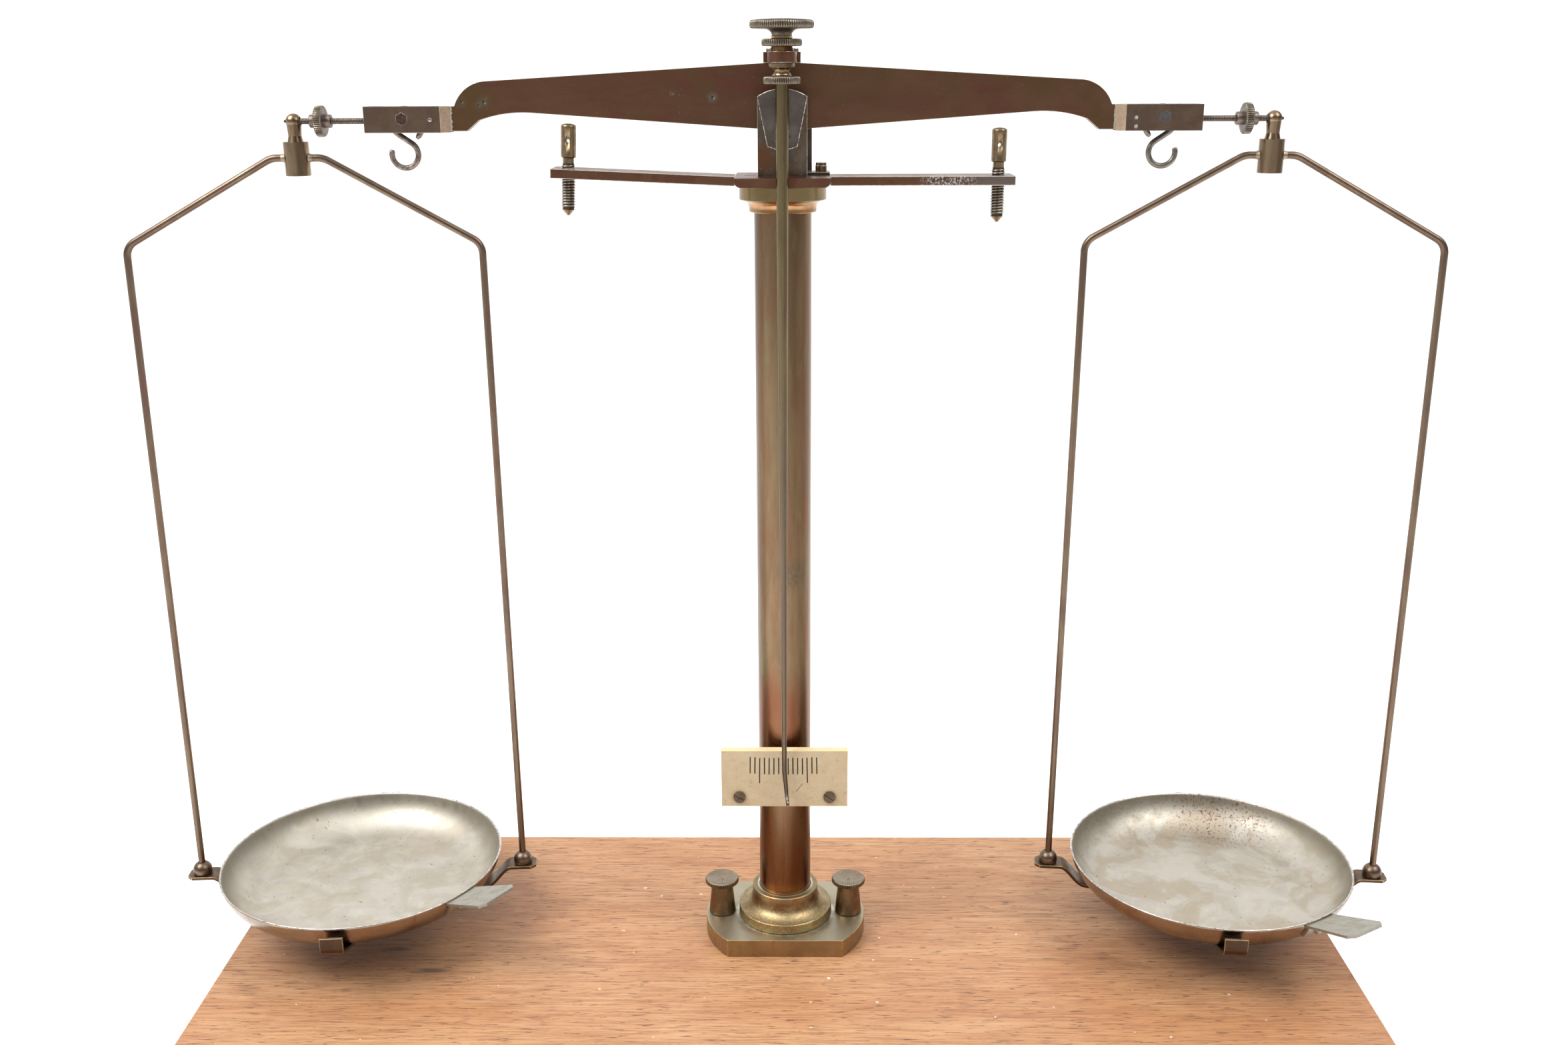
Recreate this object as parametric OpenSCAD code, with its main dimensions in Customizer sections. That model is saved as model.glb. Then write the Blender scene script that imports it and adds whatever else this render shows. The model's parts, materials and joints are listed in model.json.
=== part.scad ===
// Equal arm balance scale on a wooden base.
// X runs along the beam, Y from front to back, Z up. The origin is on the column's
// axis, in the plane that the wooden base rests on. All sizes are in millimetres.

/* [Wooden base] */
// Width of the wooden base, left to right
board_w = 570; // [500:5:620]
// Depth of the wooden base, front to back
board_d = 229; // [200:1:260]
// Thickness of the wooden base
board_t = 19; // [17:0.5:25]
// Distance from the column's axis to the wooden base's back edge
board_back = 96; // [80:1:110]

/* [Stand] */
// Radius of the round brass base plate
plate_r = 41.6; // [41:0.1:48]
// Half depth of the base plate between its front and back flats
plate_half_d = 29.5; // [26:0.1:34]
// Thickness of the base plate
plate_t = 9.5; // [8:0.1:12]
// Outer diameter of the column tube
column_d = 26.4; // [24:0.1:28]
// Wall thickness of the column tube
column_wall = 1.6; // [1.2:0.1:2]
// Length of the column tube
column_h = 347.3; // [330:0.1:360]
// Width and depth of the square plate on top of the column
top_plate_w = 43.2; // [42:0.1:46]
// Thickness of the top plate
top_plate_t = 4.1; // [3.5:0.1:5]

/* [Rest arms and stop screws] */
// Distance from the column's axis to a rest arm's outer end
arm_reach = 105; // [104:0.5:112]
// Width of a rest arm
arm_w = 19; // [14:0.5:20]
// Thickness of a rest arm
arm_t = 4.2; // [3.5:0.1:5]
// Upward bend of the left rest arm, in degrees
arm_bend = 2.6; // [0:0.1:3]
// Thread diameter of a stop screw
stop_d = 6.35; // [6:0.05:6.5]

/* [Beam] */
// Thickness of the beam plate
beam_t = 5; // [4:0.1:5.2]
// Distance from the centre knife to each end knife
arm_length = 171; // [170:0.5:172]
// Diameter of a balance rod at the beam's end
rod_d = 2.8; // [2.6:0.05:3]
// Distance from the centre knife to each hanger's axis
hang_x = 221.5; // [220:0.5:222]
// Distance of the pointer in front of the beam
pointer_y = 26; // [25.5:0.1:28]

/* [Hangers and pans] */
// Wire diameter of an S-hook
hook_wire = 2.6; // [2.2:0.1:2.8]
// Wire diameter of a bail
bail_wire_d = 3.4; // [3:0.1:3.6]
// Distance between a bail's two legs at their feet
bail_w = 166; // [164:0.1:172]
// Distance between a bail's two legs at its shoulders
shoulder_w = 162.4; // [160:0.1:166]
// Angle of a bail's sloping shoulders below the horizontal
shoulder_slope = 29.5; // [25:0.5:32]
// Turn of the left bail about its own axis, in degrees
left_turn = 4; // [-10:1:10]
// Turn of the right bail about its own axis, in degrees
right_turn = -5; // [-10:1:10]
// Rim diameter of a pan
pan_d = 143; // [138:0.5:144]
// Wall thickness of a pan
pan_t = 1.2; // [1:0.1:1.5]

/* [Index] */
// Width of the index plate
index_w = 63; // [60:0.5:66]
// Height of the index plate
index_h = 30.3; // [28:0.1:32]

/* [Hidden] */
$fn = 96;

fit = 0.06;      // radial clearance of a turning or sliding fit
loose = 0.3;     // radial clearance of a clearance hole
gap = 0.1;       // gap between two faces that slide past each other
cut = 1;         // how far a cutting solid runs past the face that it cuts
nest = 0.03;     // how much thinner a wire's straight run is than its bends
lap = 0.4;       // how far a straight run of wire reaches into a bend
slot_w = 0.8;    // width of a small screw's slot

// Heights, from the wooden base up to the centre knife's edge
foot_h = 16.5;
cap_h = 12.1;
z_plate = board_t;
z_foot = z_plate + plate_t;
z_tube = z_foot + foot_h;
z_cap = z_tube + column_h;
z_top = z_cap + cap_h;
z_fork = z_top + top_plate_t;
fork_h = 34.5;
z_knife = z_fork + 28.5;

// Stand
bore_r = column_d / 2 - column_wall;
tie_r = 4;
tie_hole_r = tie_r + loose;
tie_end_z = 0.5;
tie_top_gap = 4;
cap_roof = 2;
recess_r = 12.5;
recess_h = 9;
washer_t = 2;
thumb_x = 33.2;
thumb_shank_r = 3.1;
insert_r = 4.75;
insert_h = 12;
foot_ring_r = 24.25;
foot_ring_h = 5.4;
foot_neck_r = 17;
cap_flange_r = 15.5;
cap_ring_r = 20;
cap_screw_x = 14.5;
cap_screw_r = 1.5;
cap_head_seat = 2;

// Rest arms: the stop screws stand at the same distance on both sides
arm_x0 = top_plate_w / 2;
stop_x = 98.2;
z_arm = z_fork - arm_t;
stop_r = stop_d / 2;
stop_below = 18.5;
stop_up_left = 19.8;
stop_up_right = 20.9;

// Fork, bearings and covers
fork_half_w = 11.1;
fork_half_d = 12;
fork_wall = 3;
rear_w = 13.4;
flange_x = 21.5;
flange_t = 1.4;
bolt_at = [17.6, 5];
bolt_r = 1.9;
notch_w = 8;
notch_z = 21.5;
block_h = 7;
cover_t = 1.2;
cover_screw_z = -11;
cover_screw_r = 1.5;

// Beam, measured from the centre knife's edge
seat_z = 20.5;
seat_half = 8.6;
belly_z = -8;
step_r = 16;
step_at = [132.6, 13.2 - step_r];
hollow_r = 61.4;
hollow_at = [117.1, -61.9];
hollow_end = 93.9;
lip_x = 136.9;
lip_end_x = 142.5;
tongue_x = 160;
tongue_z = -8.5;
knife_half = 2.6;
knife_shoulder_z = 5;
knife_top_z = 7;
pin_r = 0.8;
bracket_t = 4.5;
bracket_screw_x = 5.2;
bracket_screw_r = 1.1;
bracket_screw_depth = 8;
end_block_z0 = -9.1;
end_block_z1 = 2.4;
end_block_x0 = 149.7;
end_block_x1 = 188;
end_block_half = 6.35;
end_slot_x = 180.5;
end_knife_z = -3;
end_knife_r = 2.75;
rod_z = -4;
rod_depth = 6.5;
rod_tip_x = 226;
nut_x = 209.2;
pointer_r = 2.9;
lock_nut_z = 11.6;
gravity_nut_gap = 5.3;

// Hangers, measured from the centre knife's edge
barrel_z1 = -13;
barrel_h = 15;
barrel_r = 5.6;
barrel_wall = 2;
wire_z = -20.2;
bail_r = bail_wire_d / 2;
leg_x = bail_w / 2;
stem_r = 1.5;
crown_r = 10;
crown_x = 9;
shoulder_r = 8;

// Pans, measured from the wooden base's top
pan_z = board_t + 24.3;
pan_corner_r = 22;
pan_depth = 17.7;
cross_w = 11;
cross_t = 1.6;
cross_z = pan_z - gap;
ogee_x0 = 63;
ogee_x1 = 77;
clip_x = 76.2;
clip_z1 = board_t + 39.6;
foot_z = board_t + 34.8;
leg_below = cross_t + 0.8;
tab_slope = 18;
tab_turn_left = -33;
tab_turn_right = -58;

// Index plate behind the pointer's tip
index_front_y = -22;
index_t = 4.5;
index_z = board_t + 81.8;
index_screw_at = [22.5, 5.2];
index_screw_r = 1.4;
saddle_t = 2.4;

brass = "#8a6a3c";
bright_brass = "#b08a4c";
dark_brass = "#5b4434";
steel = "#6b6762";
nickel = "#b3ada3";
bone = "#e6d3ac";
timber = "#c08a58";

// ---- shared shapes ----

module along_y(length) {
    rotate([90, 0, 0])
        linear_extrude(length, center = true)
            children();
}

module rod_y(r, length) {
    rotate([90, 0, 0])
        cylinder(h = length, r = r, center = true);
}

module rod_x(r, x0, x1) {
    translate([x0, 0, 0])
        rotate([0, 90, 0])
            cylinder(h = x1 - x0, r = r);
}

// Mirrors a right-hand piece to the left when side is -1
module on_side(side) {
    mirror([side < 0 ? 1 : 0, 0, 0])
        children();
}

module both_sides() {
    on_side(1)
        children();
    on_side(-1)
        children();
}

// Outline of a round-cornered rectangle, centred
module rounded_rectangle(w, d, r) {
    square([w - 2 * r, d], center = true);
    square([w, d - 2 * r], center = true);
    for (x = [-1, 1], y = [-1, 1])
        translate([x * (w / 2 - r), y * (d / 2 - r)])
            circle(r);
}

// Ring sector of wire: bend radius, wire radius and angle
module wire_bend(bend, wire, angle) {
    rotate_extrude(angle = angle)
        translate([bend, 0])
            circle(wire);
}

function unit(v) = v / norm(v);
function turn_left(v) = [-v[1], v[0]];
function heading(path, i) =
    unit(path[min(i + 1, len(path) - 1)] - path[max(i - 1, 0)]);

// Outline of a strip of thickness t that follows a path on its upper side
module strip(path, t) {
    lower = [for (i = [len(path) - 1:-1:0]) path[i] - t * turn_left(heading(path, i))];
    polygon(concat(path, lower));
}

// ---- wooden base and stand ----

module wood_base() {
    color(timber)
        difference() {
            translate([0, board_back - board_d / 2, 0])
                linear_extrude(board_t)
                    rounded_rectangle(board_w, board_d, 2);
            translate([0, 0, -cut])
                cylinder(h = board_t + 2 * cut, r = tie_hole_r);
            translate([0, 0, -cut])
                cylinder(h = recess_h + cut, r = recess_r);
            for (x = [-thumb_x, thumb_x])
                translate([x, 0, board_t - insert_h])
                    cylinder(h = insert_h + cut, r = insert_r);
        }
}

module thread_inserts() {
    color(brass)
        for (x = [-thumb_x, thumb_x])
            translate([x, 0, board_t - insert_h])
                difference() {
                    cylinder(h = insert_h, r = insert_r);
                    translate([0, 0, -cut])
                        cylinder(h = insert_h + 2 * cut, r = thumb_shank_r + fit);
                }
}

module base_plate() {
    color(brass)
        translate([0, 0, z_plate])
            difference() {
                linear_extrude(plate_t)
                    intersection() {
                        circle(plate_r);
                        square([2 * plate_r, 2 * plate_half_d], center = true);
                    }
                translate([0, 0, -cut])
                    cylinder(h = plate_t + 2 * cut, r = tie_hole_r);
                for (x = [-thumb_x, thumb_x])
                    translate([x, 0, -cut])
                        cylinder(h = plate_t + 2 * cut, r = thumb_shank_r + loose);
            }
}

// A moulding with a broad ring, a hollow curve and a narrow ring below the tube
module foot_moulding() {
    curve_r = foot_ring_r - foot_neck_r;
    spigot_h = 10;
    color(bright_brass)
        translate([0, 0, z_foot])
            difference() {
                rotate_extrude()
                    difference() {
                        union() {
                            square([foot_ring_r, foot_ring_h]);
                            square([foot_ring_r, foot_ring_h + curve_r]);
                            square([foot_neck_r, foot_h]);
                            square([bore_r - fit, foot_h + spigot_h]);
                        }
                        translate([foot_ring_r, foot_ring_h + curve_r])
                            circle(curve_r);
                    }
                translate([0, 0, -cut])
                    cylinder(h = foot_h + spigot_h + 2 * cut, r = tie_hole_r);
            }
}

module column_tube() {
    color(brass)
        translate([0, 0, z_tube])
            difference() {
                cylinder(h = column_h, r = column_d / 2);
                translate([0, 0, -cut])
                    cylinder(h = column_h + 2 * cut, r = bore_r);
            }
}

module column_cap() {
    flange_h = 1.7;
    ring_h = 6.6;
    curve_r = cap_h - flange_h - ring_h;
    spigot_h = 10;
    color(bright_brass)
        translate([0, 0, z_cap])
            difference() {
                rotate_extrude()
                    difference() {
                        union() {
                            translate([0, -spigot_h])
                                square([bore_r - fit, spigot_h]);
                            square([cap_flange_r, flange_h]);
                            square([cap_flange_r + curve_r, cap_h - ring_h]);
                            translate([0, cap_h - ring_h])
                                square([cap_ring_r, ring_h]);
                        }
                        translate([cap_flange_r + curve_r, flange_h])
                            circle(curve_r);
                        translate([cap_flange_r, -spigot_h])
                            square([curve_r + cut, spigot_h + flange_h]);
                    }
                translate([0, 0, -spigot_h - cut])
                    cylinder(h = spigot_h + cap_h - cap_roof + cut, r = tie_r);
                for (x = [-cap_screw_x, cap_screw_x])
                    translate([x, 0, cap_h - ring_h + cut])
                        cylinder(h = ring_h, r = cap_screw_r);
            }
}

module tie_rod() {
    color(steel)
        translate([0, 0, tie_end_z])
            cylinder(h = z_top - tie_top_gap - tie_end_z, r = tie_r);
}

module tie_rod_nut() {
    nut_h = 5.5;
    nut_r = 7.5;
    color(steel)
        translate([0, 0, recess_h - washer_t - nut_h])
            difference() {
                cylinder(h = nut_h, r = nut_r, $fn = 6);
                translate([0, 0, -cut])
                    cylinder(h = nut_h + 2 * cut, r = tie_r);
            }
}

module tie_rod_washer() {
    washer_r = 11;
    color(steel)
        translate([0, 0, recess_h - washer_t])
            difference() {
                cylinder(h = washer_t, r = washer_r);
                translate([0, 0, -cut])
                    cylinder(h = washer_t + 2 * cut, r = tie_hole_r);
            }
}

// Square plate whose lower left and right edges are rounded
module top_plate() {
    edge_r = 3;
    color(dark_brass)
        translate([0, 0, z_top])
            difference() {
                along_y(top_plate_w)
                    union() {
                        translate([-top_plate_w / 2, edge_r])
                            square([top_plate_w, top_plate_t - edge_r]);
                        translate([edge_r - top_plate_w / 2, 0])
                            square([top_plate_w - 2 * edge_r, edge_r]);
                        for (x = [-1, 1])
                            intersection() {
                                translate([x * (top_plate_w / 2 - edge_r), edge_r])
                                    circle(edge_r);
                                translate([-top_plate_w / 2, 0])
                                    square([top_plate_w, edge_r]);
                            }
                    }
                for (x = [-cap_screw_x, cap_screw_x])
                    translate([x, 0, 0]) {
                        translate([0, 0, -cut])
                            cylinder(h = top_plate_t, r = cap_screw_r);
                        translate([0, 0, top_plate_t - cap_head_seat])
                            cylinder(h = cap_head_seat + cut, r = 2 * cap_screw_r);
                    }
                translate([bolt_at[0], bolt_at[1], -cut])
                    cylinder(h = top_plate_t + 2 * cut, r = bolt_r);
            }
}

// Two flush cheese-head screws that hold the top plate on the cap
module cap_screws() {
    head_h = 1.9;
    shank_h = 5;
    color(dark_brass)
        for (x = [-cap_screw_x, cap_screw_x])
            translate([x, 0, z_top])
                difference() {
                    union() {
                        translate([0, 0, -shank_h])
                            cylinder(h = shank_h + top_plate_t - cap_head_seat, r = cap_screw_r);
                        translate([0, 0, top_plate_t - cap_head_seat])
                            cylinder(h = head_h, r = 2 * cap_screw_r);
                    }
                    translate([0, 0, top_plate_t])
                        cube([5 * cap_screw_r, slot_w, 2 * slot_w], center = true);
                }
}

// ---- rest arms and stop screws ----

// Turns the left arm and its stop screw up about the arm's root
module bend_up(angle) {
    translate([arm_x0, 0, z_arm])
        rotate([0, -angle, 0])
            translate([-arm_x0, 0, -z_arm])
                children();
}

module rest_arm(side) {
    root_x = arm_x0 + (side < 0 ? arm_t * tan(arm_bend) : 0);
    color(dark_brass)
        on_side(side)
            bend_up(side < 0 ? arm_bend : 0)
                difference() {
                    translate([root_x, -arm_w / 2, z_arm])
                        cube([arm_reach - root_x, arm_w, arm_t]);
                    translate([stop_x, 0, z_arm - cut])
                        cylinder(h = arm_t + 2 * cut, r = stop_r + fit);
                }
}

module rest_arm_left() {
    rest_arm(-1);
}

module rest_arm_right() {
    rest_arm(1);
}

// Screw with a tall cross-drilled head, a waist and a pointed end
module stop_screw(side, up) {
    head_r = 3.4;
    head_h = 15;
    dome_h = 1.2;
    hole_z = -7.7;
    hole_r = 1;
    waist_h = 2.6;
    waist_r = 2.55;
    tip_h = 2.6;
    tip_r = 0.6;
    thread_h = up + stop_below - head_h - waist_h;
    dome_r = (head_r * head_r + dome_h * dome_h) / (2 * dome_h);
    color(brass)
        on_side(side)
            bend_up(side < 0 ? arm_bend : 0)
                translate([stop_x, 0, z_fork + up])
                    difference() {
                        union() {
                            intersection() {
                                translate([0, 0, -2 * dome_h])
                                    cylinder(h = 2 * dome_h, r = head_r);
                                translate([0, 0, -dome_r])
                                    sphere(dome_r);
                            }
                            translate([0, 0, -head_h])
                                cylinder(h = head_h - dome_h, r = head_r);
                            translate([0, 0, -head_h - waist_h])
                                cylinder(h = waist_h, r = waist_r);
                            translate([0, 0, -head_h - waist_h - thread_h])
                                cylinder(h = thread_h, r = stop_r);
                            translate([0, 0, -head_h - waist_h - thread_h - tip_h])
                                cylinder(h = tip_h, r1 = tip_r, r2 = stop_r);
                        }
                        translate([0, 0, hole_z])
                            rod_y(hole_r, 4 * head_r);
                    }
}

module stop_screw_left() {
    stop_screw(-1, stop_up_left);
}

module stop_screw_right() {
    stop_screw(1, stop_up_right);
}

// ---- fork, bearings and dust covers ----

// Two uprights on a base block; the rear one is wider and carries the bolted flange
module bearing_fork() {
    base_h = 3;
    color(dark_brass)
        translate([0, 0, z_fork])
            difference() {
                union() {
                    translate([-fork_half_w, -fork_half_d, 0])
                        cube([2 * fork_half_w, fork_wall, fork_h]);
                    translate([-fork_half_w, fork_half_d - fork_wall, 0])
                        cube([fork_half_w + rear_w, fork_wall, fork_h]);
                    translate([-fork_half_w, -fork_half_d, 0])
                        cube([2 * fork_half_w, 2 * fork_half_d, base_h]);
                    translate([0, -1, 0])
                        cube([flange_x, fork_half_d + 1, flange_t]);
                }
                translate([-notch_w / 2, -2 * fork_half_d, notch_z])
                    cube([notch_w, 4 * fork_half_d, fork_h]);
                translate([bolt_at[0], bolt_at[1], -cut])
                    cylinder(h = base_h, r = bolt_r);
                translate([0, 0, z_knife - z_fork + cover_screw_z])
                    rod_y(cover_screw_r, 4 * fork_half_d);
            }
}

module fork_bolt() {
    shank_h = top_plate_t - 0.2;
    collar_h = 2.6;
    collar_r = 2.65;
    head_h = 1.4;
    head_r = 2.5;
    color(brass)
        translate([bolt_at[0], bolt_at[1], z_fork]) {
            translate([0, 0, -shank_h])
                cylinder(h = shank_h + flange_t, r = bolt_r);
            translate([0, 0, flange_t])
                cylinder(h = collar_h, r = collar_r);
            translate([0, 0, flange_t + collar_h])
                cylinder(h = head_h, r = head_r);
        }
}

// Steel vee blocks let into the tops of the two uprights
module bearing_blocks() {
    vee_h = 2.4;
    color(steel)
        for (y = [-1, 1])
            translate([0, y * (fork_half_d - fork_wall / 2), z_fork + notch_z])
                along_y(fork_wall)
                    difference() {
                        translate([-notch_w / 2, 0])
                            square([notch_w, block_h + vee_h]);
                        polygon([[0, block_h - gap], [notch_w / 2, block_h + vee_h],
                                 [notch_w, block_h + 2 * vee_h], [-notch_w, block_h + 2 * vee_h],
                                 [-notch_w / 2, block_h + vee_h]]);
                    }
}

// Leaf-shaped cover: round top, tapering sides and a shallow pointed foot
module cover_outline() {
    half_top = 11.2;
    half_foot = 6.8;
    corner_z = 6.3;
    crown_z = 9.7;
    foot_side_z = -15.3;
    foot_tip_z = -17.5;
    rise = crown_z - corner_z;
    top_r = (half_top * half_top + rise * rise) / (2 * rise);
    difference() {
        intersection() {
            translate([0, crown_z - top_r])
                circle(top_r);
            polygon([[-half_top, crown_z], [-half_top, corner_z], [-half_foot, foot_side_z],
                     [0, foot_tip_z], [half_foot, foot_side_z], [half_top, corner_z],
                     [half_top, crown_z]]);
        }
        translate([0, cover_screw_z])
            circle(cover_screw_r + fit);
    }
}

module cover(side) {
    color("#4a4448")
        translate([0, side * (fork_half_d + gap + cover_t / 2), z_knife])
            along_y(cover_t)
                cover_outline();
}

module cover_front() {
    cover(-1);
}

module cover_rear() {
    cover(1);
}

// One screw at the front and one at the back, each the pivot of a cover
module cover_screws() {
    head_y = fork_half_d + 2 * gap + cover_t;
    head_t = 1.3;
    head_r = 3.95;
    color(dark_brass)
        for (a = [0, 180])
            rotate([0, 0, a])
                translate([0, -head_y, z_knife + cover_screw_z])
                    difference() {
                        union() {
                            rotate([-90, 0, 0])
                                cylinder(h = head_y - fork_half_d + fork_wall, r = cover_screw_r);
                            rotate([90, 0, 0])
                                cylinder(h = head_t, r = head_r);
                        }
                        translate([0, -head_t, 0])
                            cube([3 * head_r, 1.5 * slot_w, slot_w], center = true);
                    }
}

// ---- index plate behind the pointer's tip ----

module index_plate() {
    color(bone)
        difference() {
            translate([-index_w / 2, index_front_y, index_z])
                cube([index_w, index_t, index_h]);
            for (x = [-1, 1])
                translate([x * index_screw_at[0], index_front_y, index_z + index_screw_at[1]])
                    rod_y(index_screw_r, 4 * index_t);
        }
}

// Brass saddle between the column and the index plate
module index_bracket() {
    back_y = index_front_y + index_t;
    saddle_half = 27;
    saddle_h = index_h - 6;
    spine_half = 9;
    spine_back_y = -7;
    spine_h = index_h - 10;
    color(brass)
        difference() {
            union() {
                translate([-saddle_half, back_y, index_z + 2])
                    cube([2 * saddle_half, saddle_t, saddle_h]);
                translate([-spine_half, back_y, index_z + 4])
                    cube([2 * spine_half, spine_back_y - back_y, spine_h]);
            }
            cylinder(h = z_cap, r = column_d / 2);
            for (x = [-1, 1])
                translate([x * index_screw_at[0], back_y, index_z + index_screw_at[1]])
                    rod_y(index_screw_r, 4 * index_t);
        }
}

module index_screws() {
    head_r = 3;
    head_h = 1;
    color(dark_brass)
        for (x = [-1, 1])
            translate([x * index_screw_at[0], index_front_y, index_z + index_screw_at[1]])
                difference() {
                    union() {
                        rotate([-90, 0, 0])
                            cylinder(h = index_t + saddle_t, r = index_screw_r);
                        rotate([90, 0, 0])
                            cylinder(h = head_h, r = head_r);
                    }
                    translate([0, -head_h, 0])
                        cube([3 * head_r, head_h, slot_w], center = true);
                }
}

// ---- thumb screws through the base plate ----

// Tapered body, knurled head with a dished top, and a shank down into the insert
module thumb_screw(side) {
    body_h = 17;
    body_r0 = 6.95;
    body_r1 = 5.4;
    head_h = 2.6;
    head_r = 8.75;
    shank_h = 18;
    dish_r = 20;
    dish_h = 1.1;
    color(brass)
        translate([side * thumb_x, 0, z_foot])
            difference() {
                union() {
                    translate([0, 0, -shank_h])
                        cylinder(h = shank_h, r = thumb_shank_r);
                    cylinder(h = body_h, r1 = body_r0, r2 = body_r1);
                    translate([0, 0, body_h])
                        cylinder(h = head_h, r = head_r);
                }
                translate([0, 0, body_h + head_h + dish_r - dish_h])
                    sphere(dish_r);
            }
}

module thumb_screw_left() {
    thumb_screw(-1);
}

module thumb_screw_right() {
    thumb_screw(1);
}

// ---- beam ----

function arc_points(centre, r, from, to, steps) =
    [for (i = [0:steps]) let (a = from + (to - from) * i / steps) centre + r * [cos(a), sin(a)]];

// The right half of the beam's outline, with the knife's edge at the origin
function right_outline() = concat(
    [[seat_half, seat_z]],
    arc_points(step_at, step_r, 90, asin((end_block_z1 - step_at[1]) / step_r), 10),
    [[tongue_x, end_block_z1], [tongue_x, tongue_z], [lip_end_x, tongue_z]],
    arc_points(hollow_at, hollow_r, acos((lip_x - hollow_at[0]) / hollow_r), hollow_end, 8),
    [[seat_half, belly_z]]);

module beam_outline() {
    right = right_outline();
    left = [for (i = [len(right) - 1:-1:0]) [-right[i][0], right[i][1]]];
    difference() {
        polygon(concat(right, left));
        knife_outline();
    }
}

module knife_outline() {
    polygon([[0, 0], [knife_half, knife_shoulder_z], [knife_half, knife_top_z],
             [-knife_half, knife_top_z], [-knife_half, knife_shoulder_z]]);
}

function pin_spots(side) = side < 0 ? [[158.2, -3.4]] : [[158.1, -3.3], [158.2, -7.2]];

module beam() {
    color(dark_brass)
        translate([0, 0, z_knife])
            difference() {
                along_y(beam_t)
                    beam_outline();
                for (side = [-1, 1], p = pin_spots(side))
                    translate([side * p[0], 0, p[1]])
                        rod_y(pin_r, 2 * beam_t);
                for (x = [-1, 1])
                    translate([x * bracket_screw_x, 0, seat_z - bracket_screw_depth])
                        cylinder(h = bracket_screw_depth + cut, r = bracket_screw_r);
            }
}

module centre_knife() {
    color(steel)
        translate([0, 0, z_knife])
            along_y(23)
                knife_outline();
}

// Clevis on the beam's tongue, with a slot for the hook and a hexagonal knife hole
module end_block(side) {
    color(dark_brass)
        translate([0, 0, z_knife])
            on_side(side)
                difference() {
                    translate([0, 0, end_block_z0])
                        linear_extrude(end_block_z1 - end_block_z0)
                            difference() {
                                polygon([[end_block_x0, -beam_t / 2],
                                         [end_block_x0 + end_block_half - beam_t / 2, -end_block_half],
                                         [end_block_x1, -end_block_half], [end_block_x1, end_block_half],
                                         [end_block_x0 + end_block_half - beam_t / 2, end_block_half],
                                         [end_block_x0, beam_t / 2]]);
                                translate([end_block_x0 - cut, -beam_t / 2])
                                    square([end_slot_x - end_block_x0 + cut, beam_t]);
                            }
                    translate([arm_length, 0, end_knife_z])
                        end_knife_bar(4 * end_block_half);
                    for (p = pin_spots(side))
                        translate([p[0], 0, p[1]])
                            rod_y(pin_r, 4 * end_block_half);
                    translate([0, 0, rod_z])
                        rod_x(rod_d / 2, end_block_x1 - rod_depth, end_block_x1 + cut);
                }
}

module end_block_left() {
    end_block(-1);
}

module end_block_right() {
    end_block(1);
}

module block_pins() {
    color(bright_brass)
        for (side = [-1, 1], p = pin_spots(side))
            translate([side * p[0], 0, z_knife + p[1]])
                rod_y(pin_r, 2 * end_block_half);
}

// Hexagonal bar with one of its edges on top
module end_knife_bar(length) {
    rotate([90, 0, 0])
        rotate([0, 0, 30])
            cylinder(h = length, r = end_knife_r, center = true, $fn = 6);
}

module end_knife(side) {
    color(steel)
        translate([side * arm_length, 0, z_knife + end_knife_z])
            end_knife_bar(2 * end_block_half);
}

module end_knife_left() {
    end_knife(-1);
}

module end_knife_right() {
    end_knife(1);
}

module balance_rod(side) {
    tip_h = 1.6;
    tip_r = 0.3;
    color(steel)
        translate([0, 0, z_knife + rod_z])
            on_side(side) {
                rod_x(rod_d / 2, end_block_x1 - rod_depth, rod_tip_x - tip_h);
                translate([rod_tip_x - tip_h, 0, 0])
                    rotate([0, 90, 0])
                        cylinder(h = tip_h, r1 = rod_d / 2, r2 = tip_r);
            }
}

module balance_rod_left() {
    balance_rod(-1);
}

module balance_rod_right() {
    balance_rod(1);
}

module balance_nut(side) {
    hub_r = 3;
    hub_half = 4.85;
    disc_r = 6.95;
    disc_half = 1.8;
    color(brass)
        translate([side * nut_x, 0, z_knife + rod_z])
            difference() {
                union() {
                    rod_x(hub_r, -hub_half, hub_half);
                    rod_x(disc_r, -disc_half, disc_half);
                }
                rod_x(rod_d / 2 + fit, -2 * hub_half, 2 * hub_half);
            }
}

module balance_nut_left() {
    balance_nut(-1);
}

module balance_nut_right() {
    balance_nut(1);
}

// ---- pointer, its bracket and the nuts above and below ----

module pointer_bracket() {
    half_w = 8.2;
    back_y = 3.5;
    boss_r = 6.15;
    boss_end = 20;
    color(dark_brass)
        translate([0, 0, z_knife + seat_z])
            difference() {
                linear_extrude(bracket_t)
                    union() {
                        translate([-half_w, -boss_end])
                            square([2 * half_w, boss_end + back_y]);
                        translate([-boss_r, -pointer_y])
                            square([2 * boss_r, pointer_y]);
                        translate([0, -pointer_y])
                            circle(boss_r);
                    }
                translate([0, -pointer_y, -cut])
                    cylinder(h = bracket_t + 2 * cut, r = pointer_r);
                for (x = [-1, 1])
                    translate([x * bracket_screw_x, 0, -cut])
                        cylinder(h = bracket_t + 2 * cut, r = bracket_screw_r);
            }
}

module bracket_screws() {
    shank_h = bracket_t + bracket_screw_depth - 0.5;
    head_h = 1.8;
    head_r = 2.1;
    color(dark_brass)
        for (x = [-1, 1])
            translate([x * bracket_screw_x, 0, z_knife + seat_z + bracket_t])
                difference() {
                    union() {
                        translate([0, 0, -shank_h])
                            cylinder(h = shank_h, r = bracket_screw_r);
                        cylinder(h = head_h, r = head_r);
                    }
                    translate([0, 0, head_h])
                        cube([3 * head_r, slot_w, slot_w * 2], center = true);
                }
}

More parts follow.
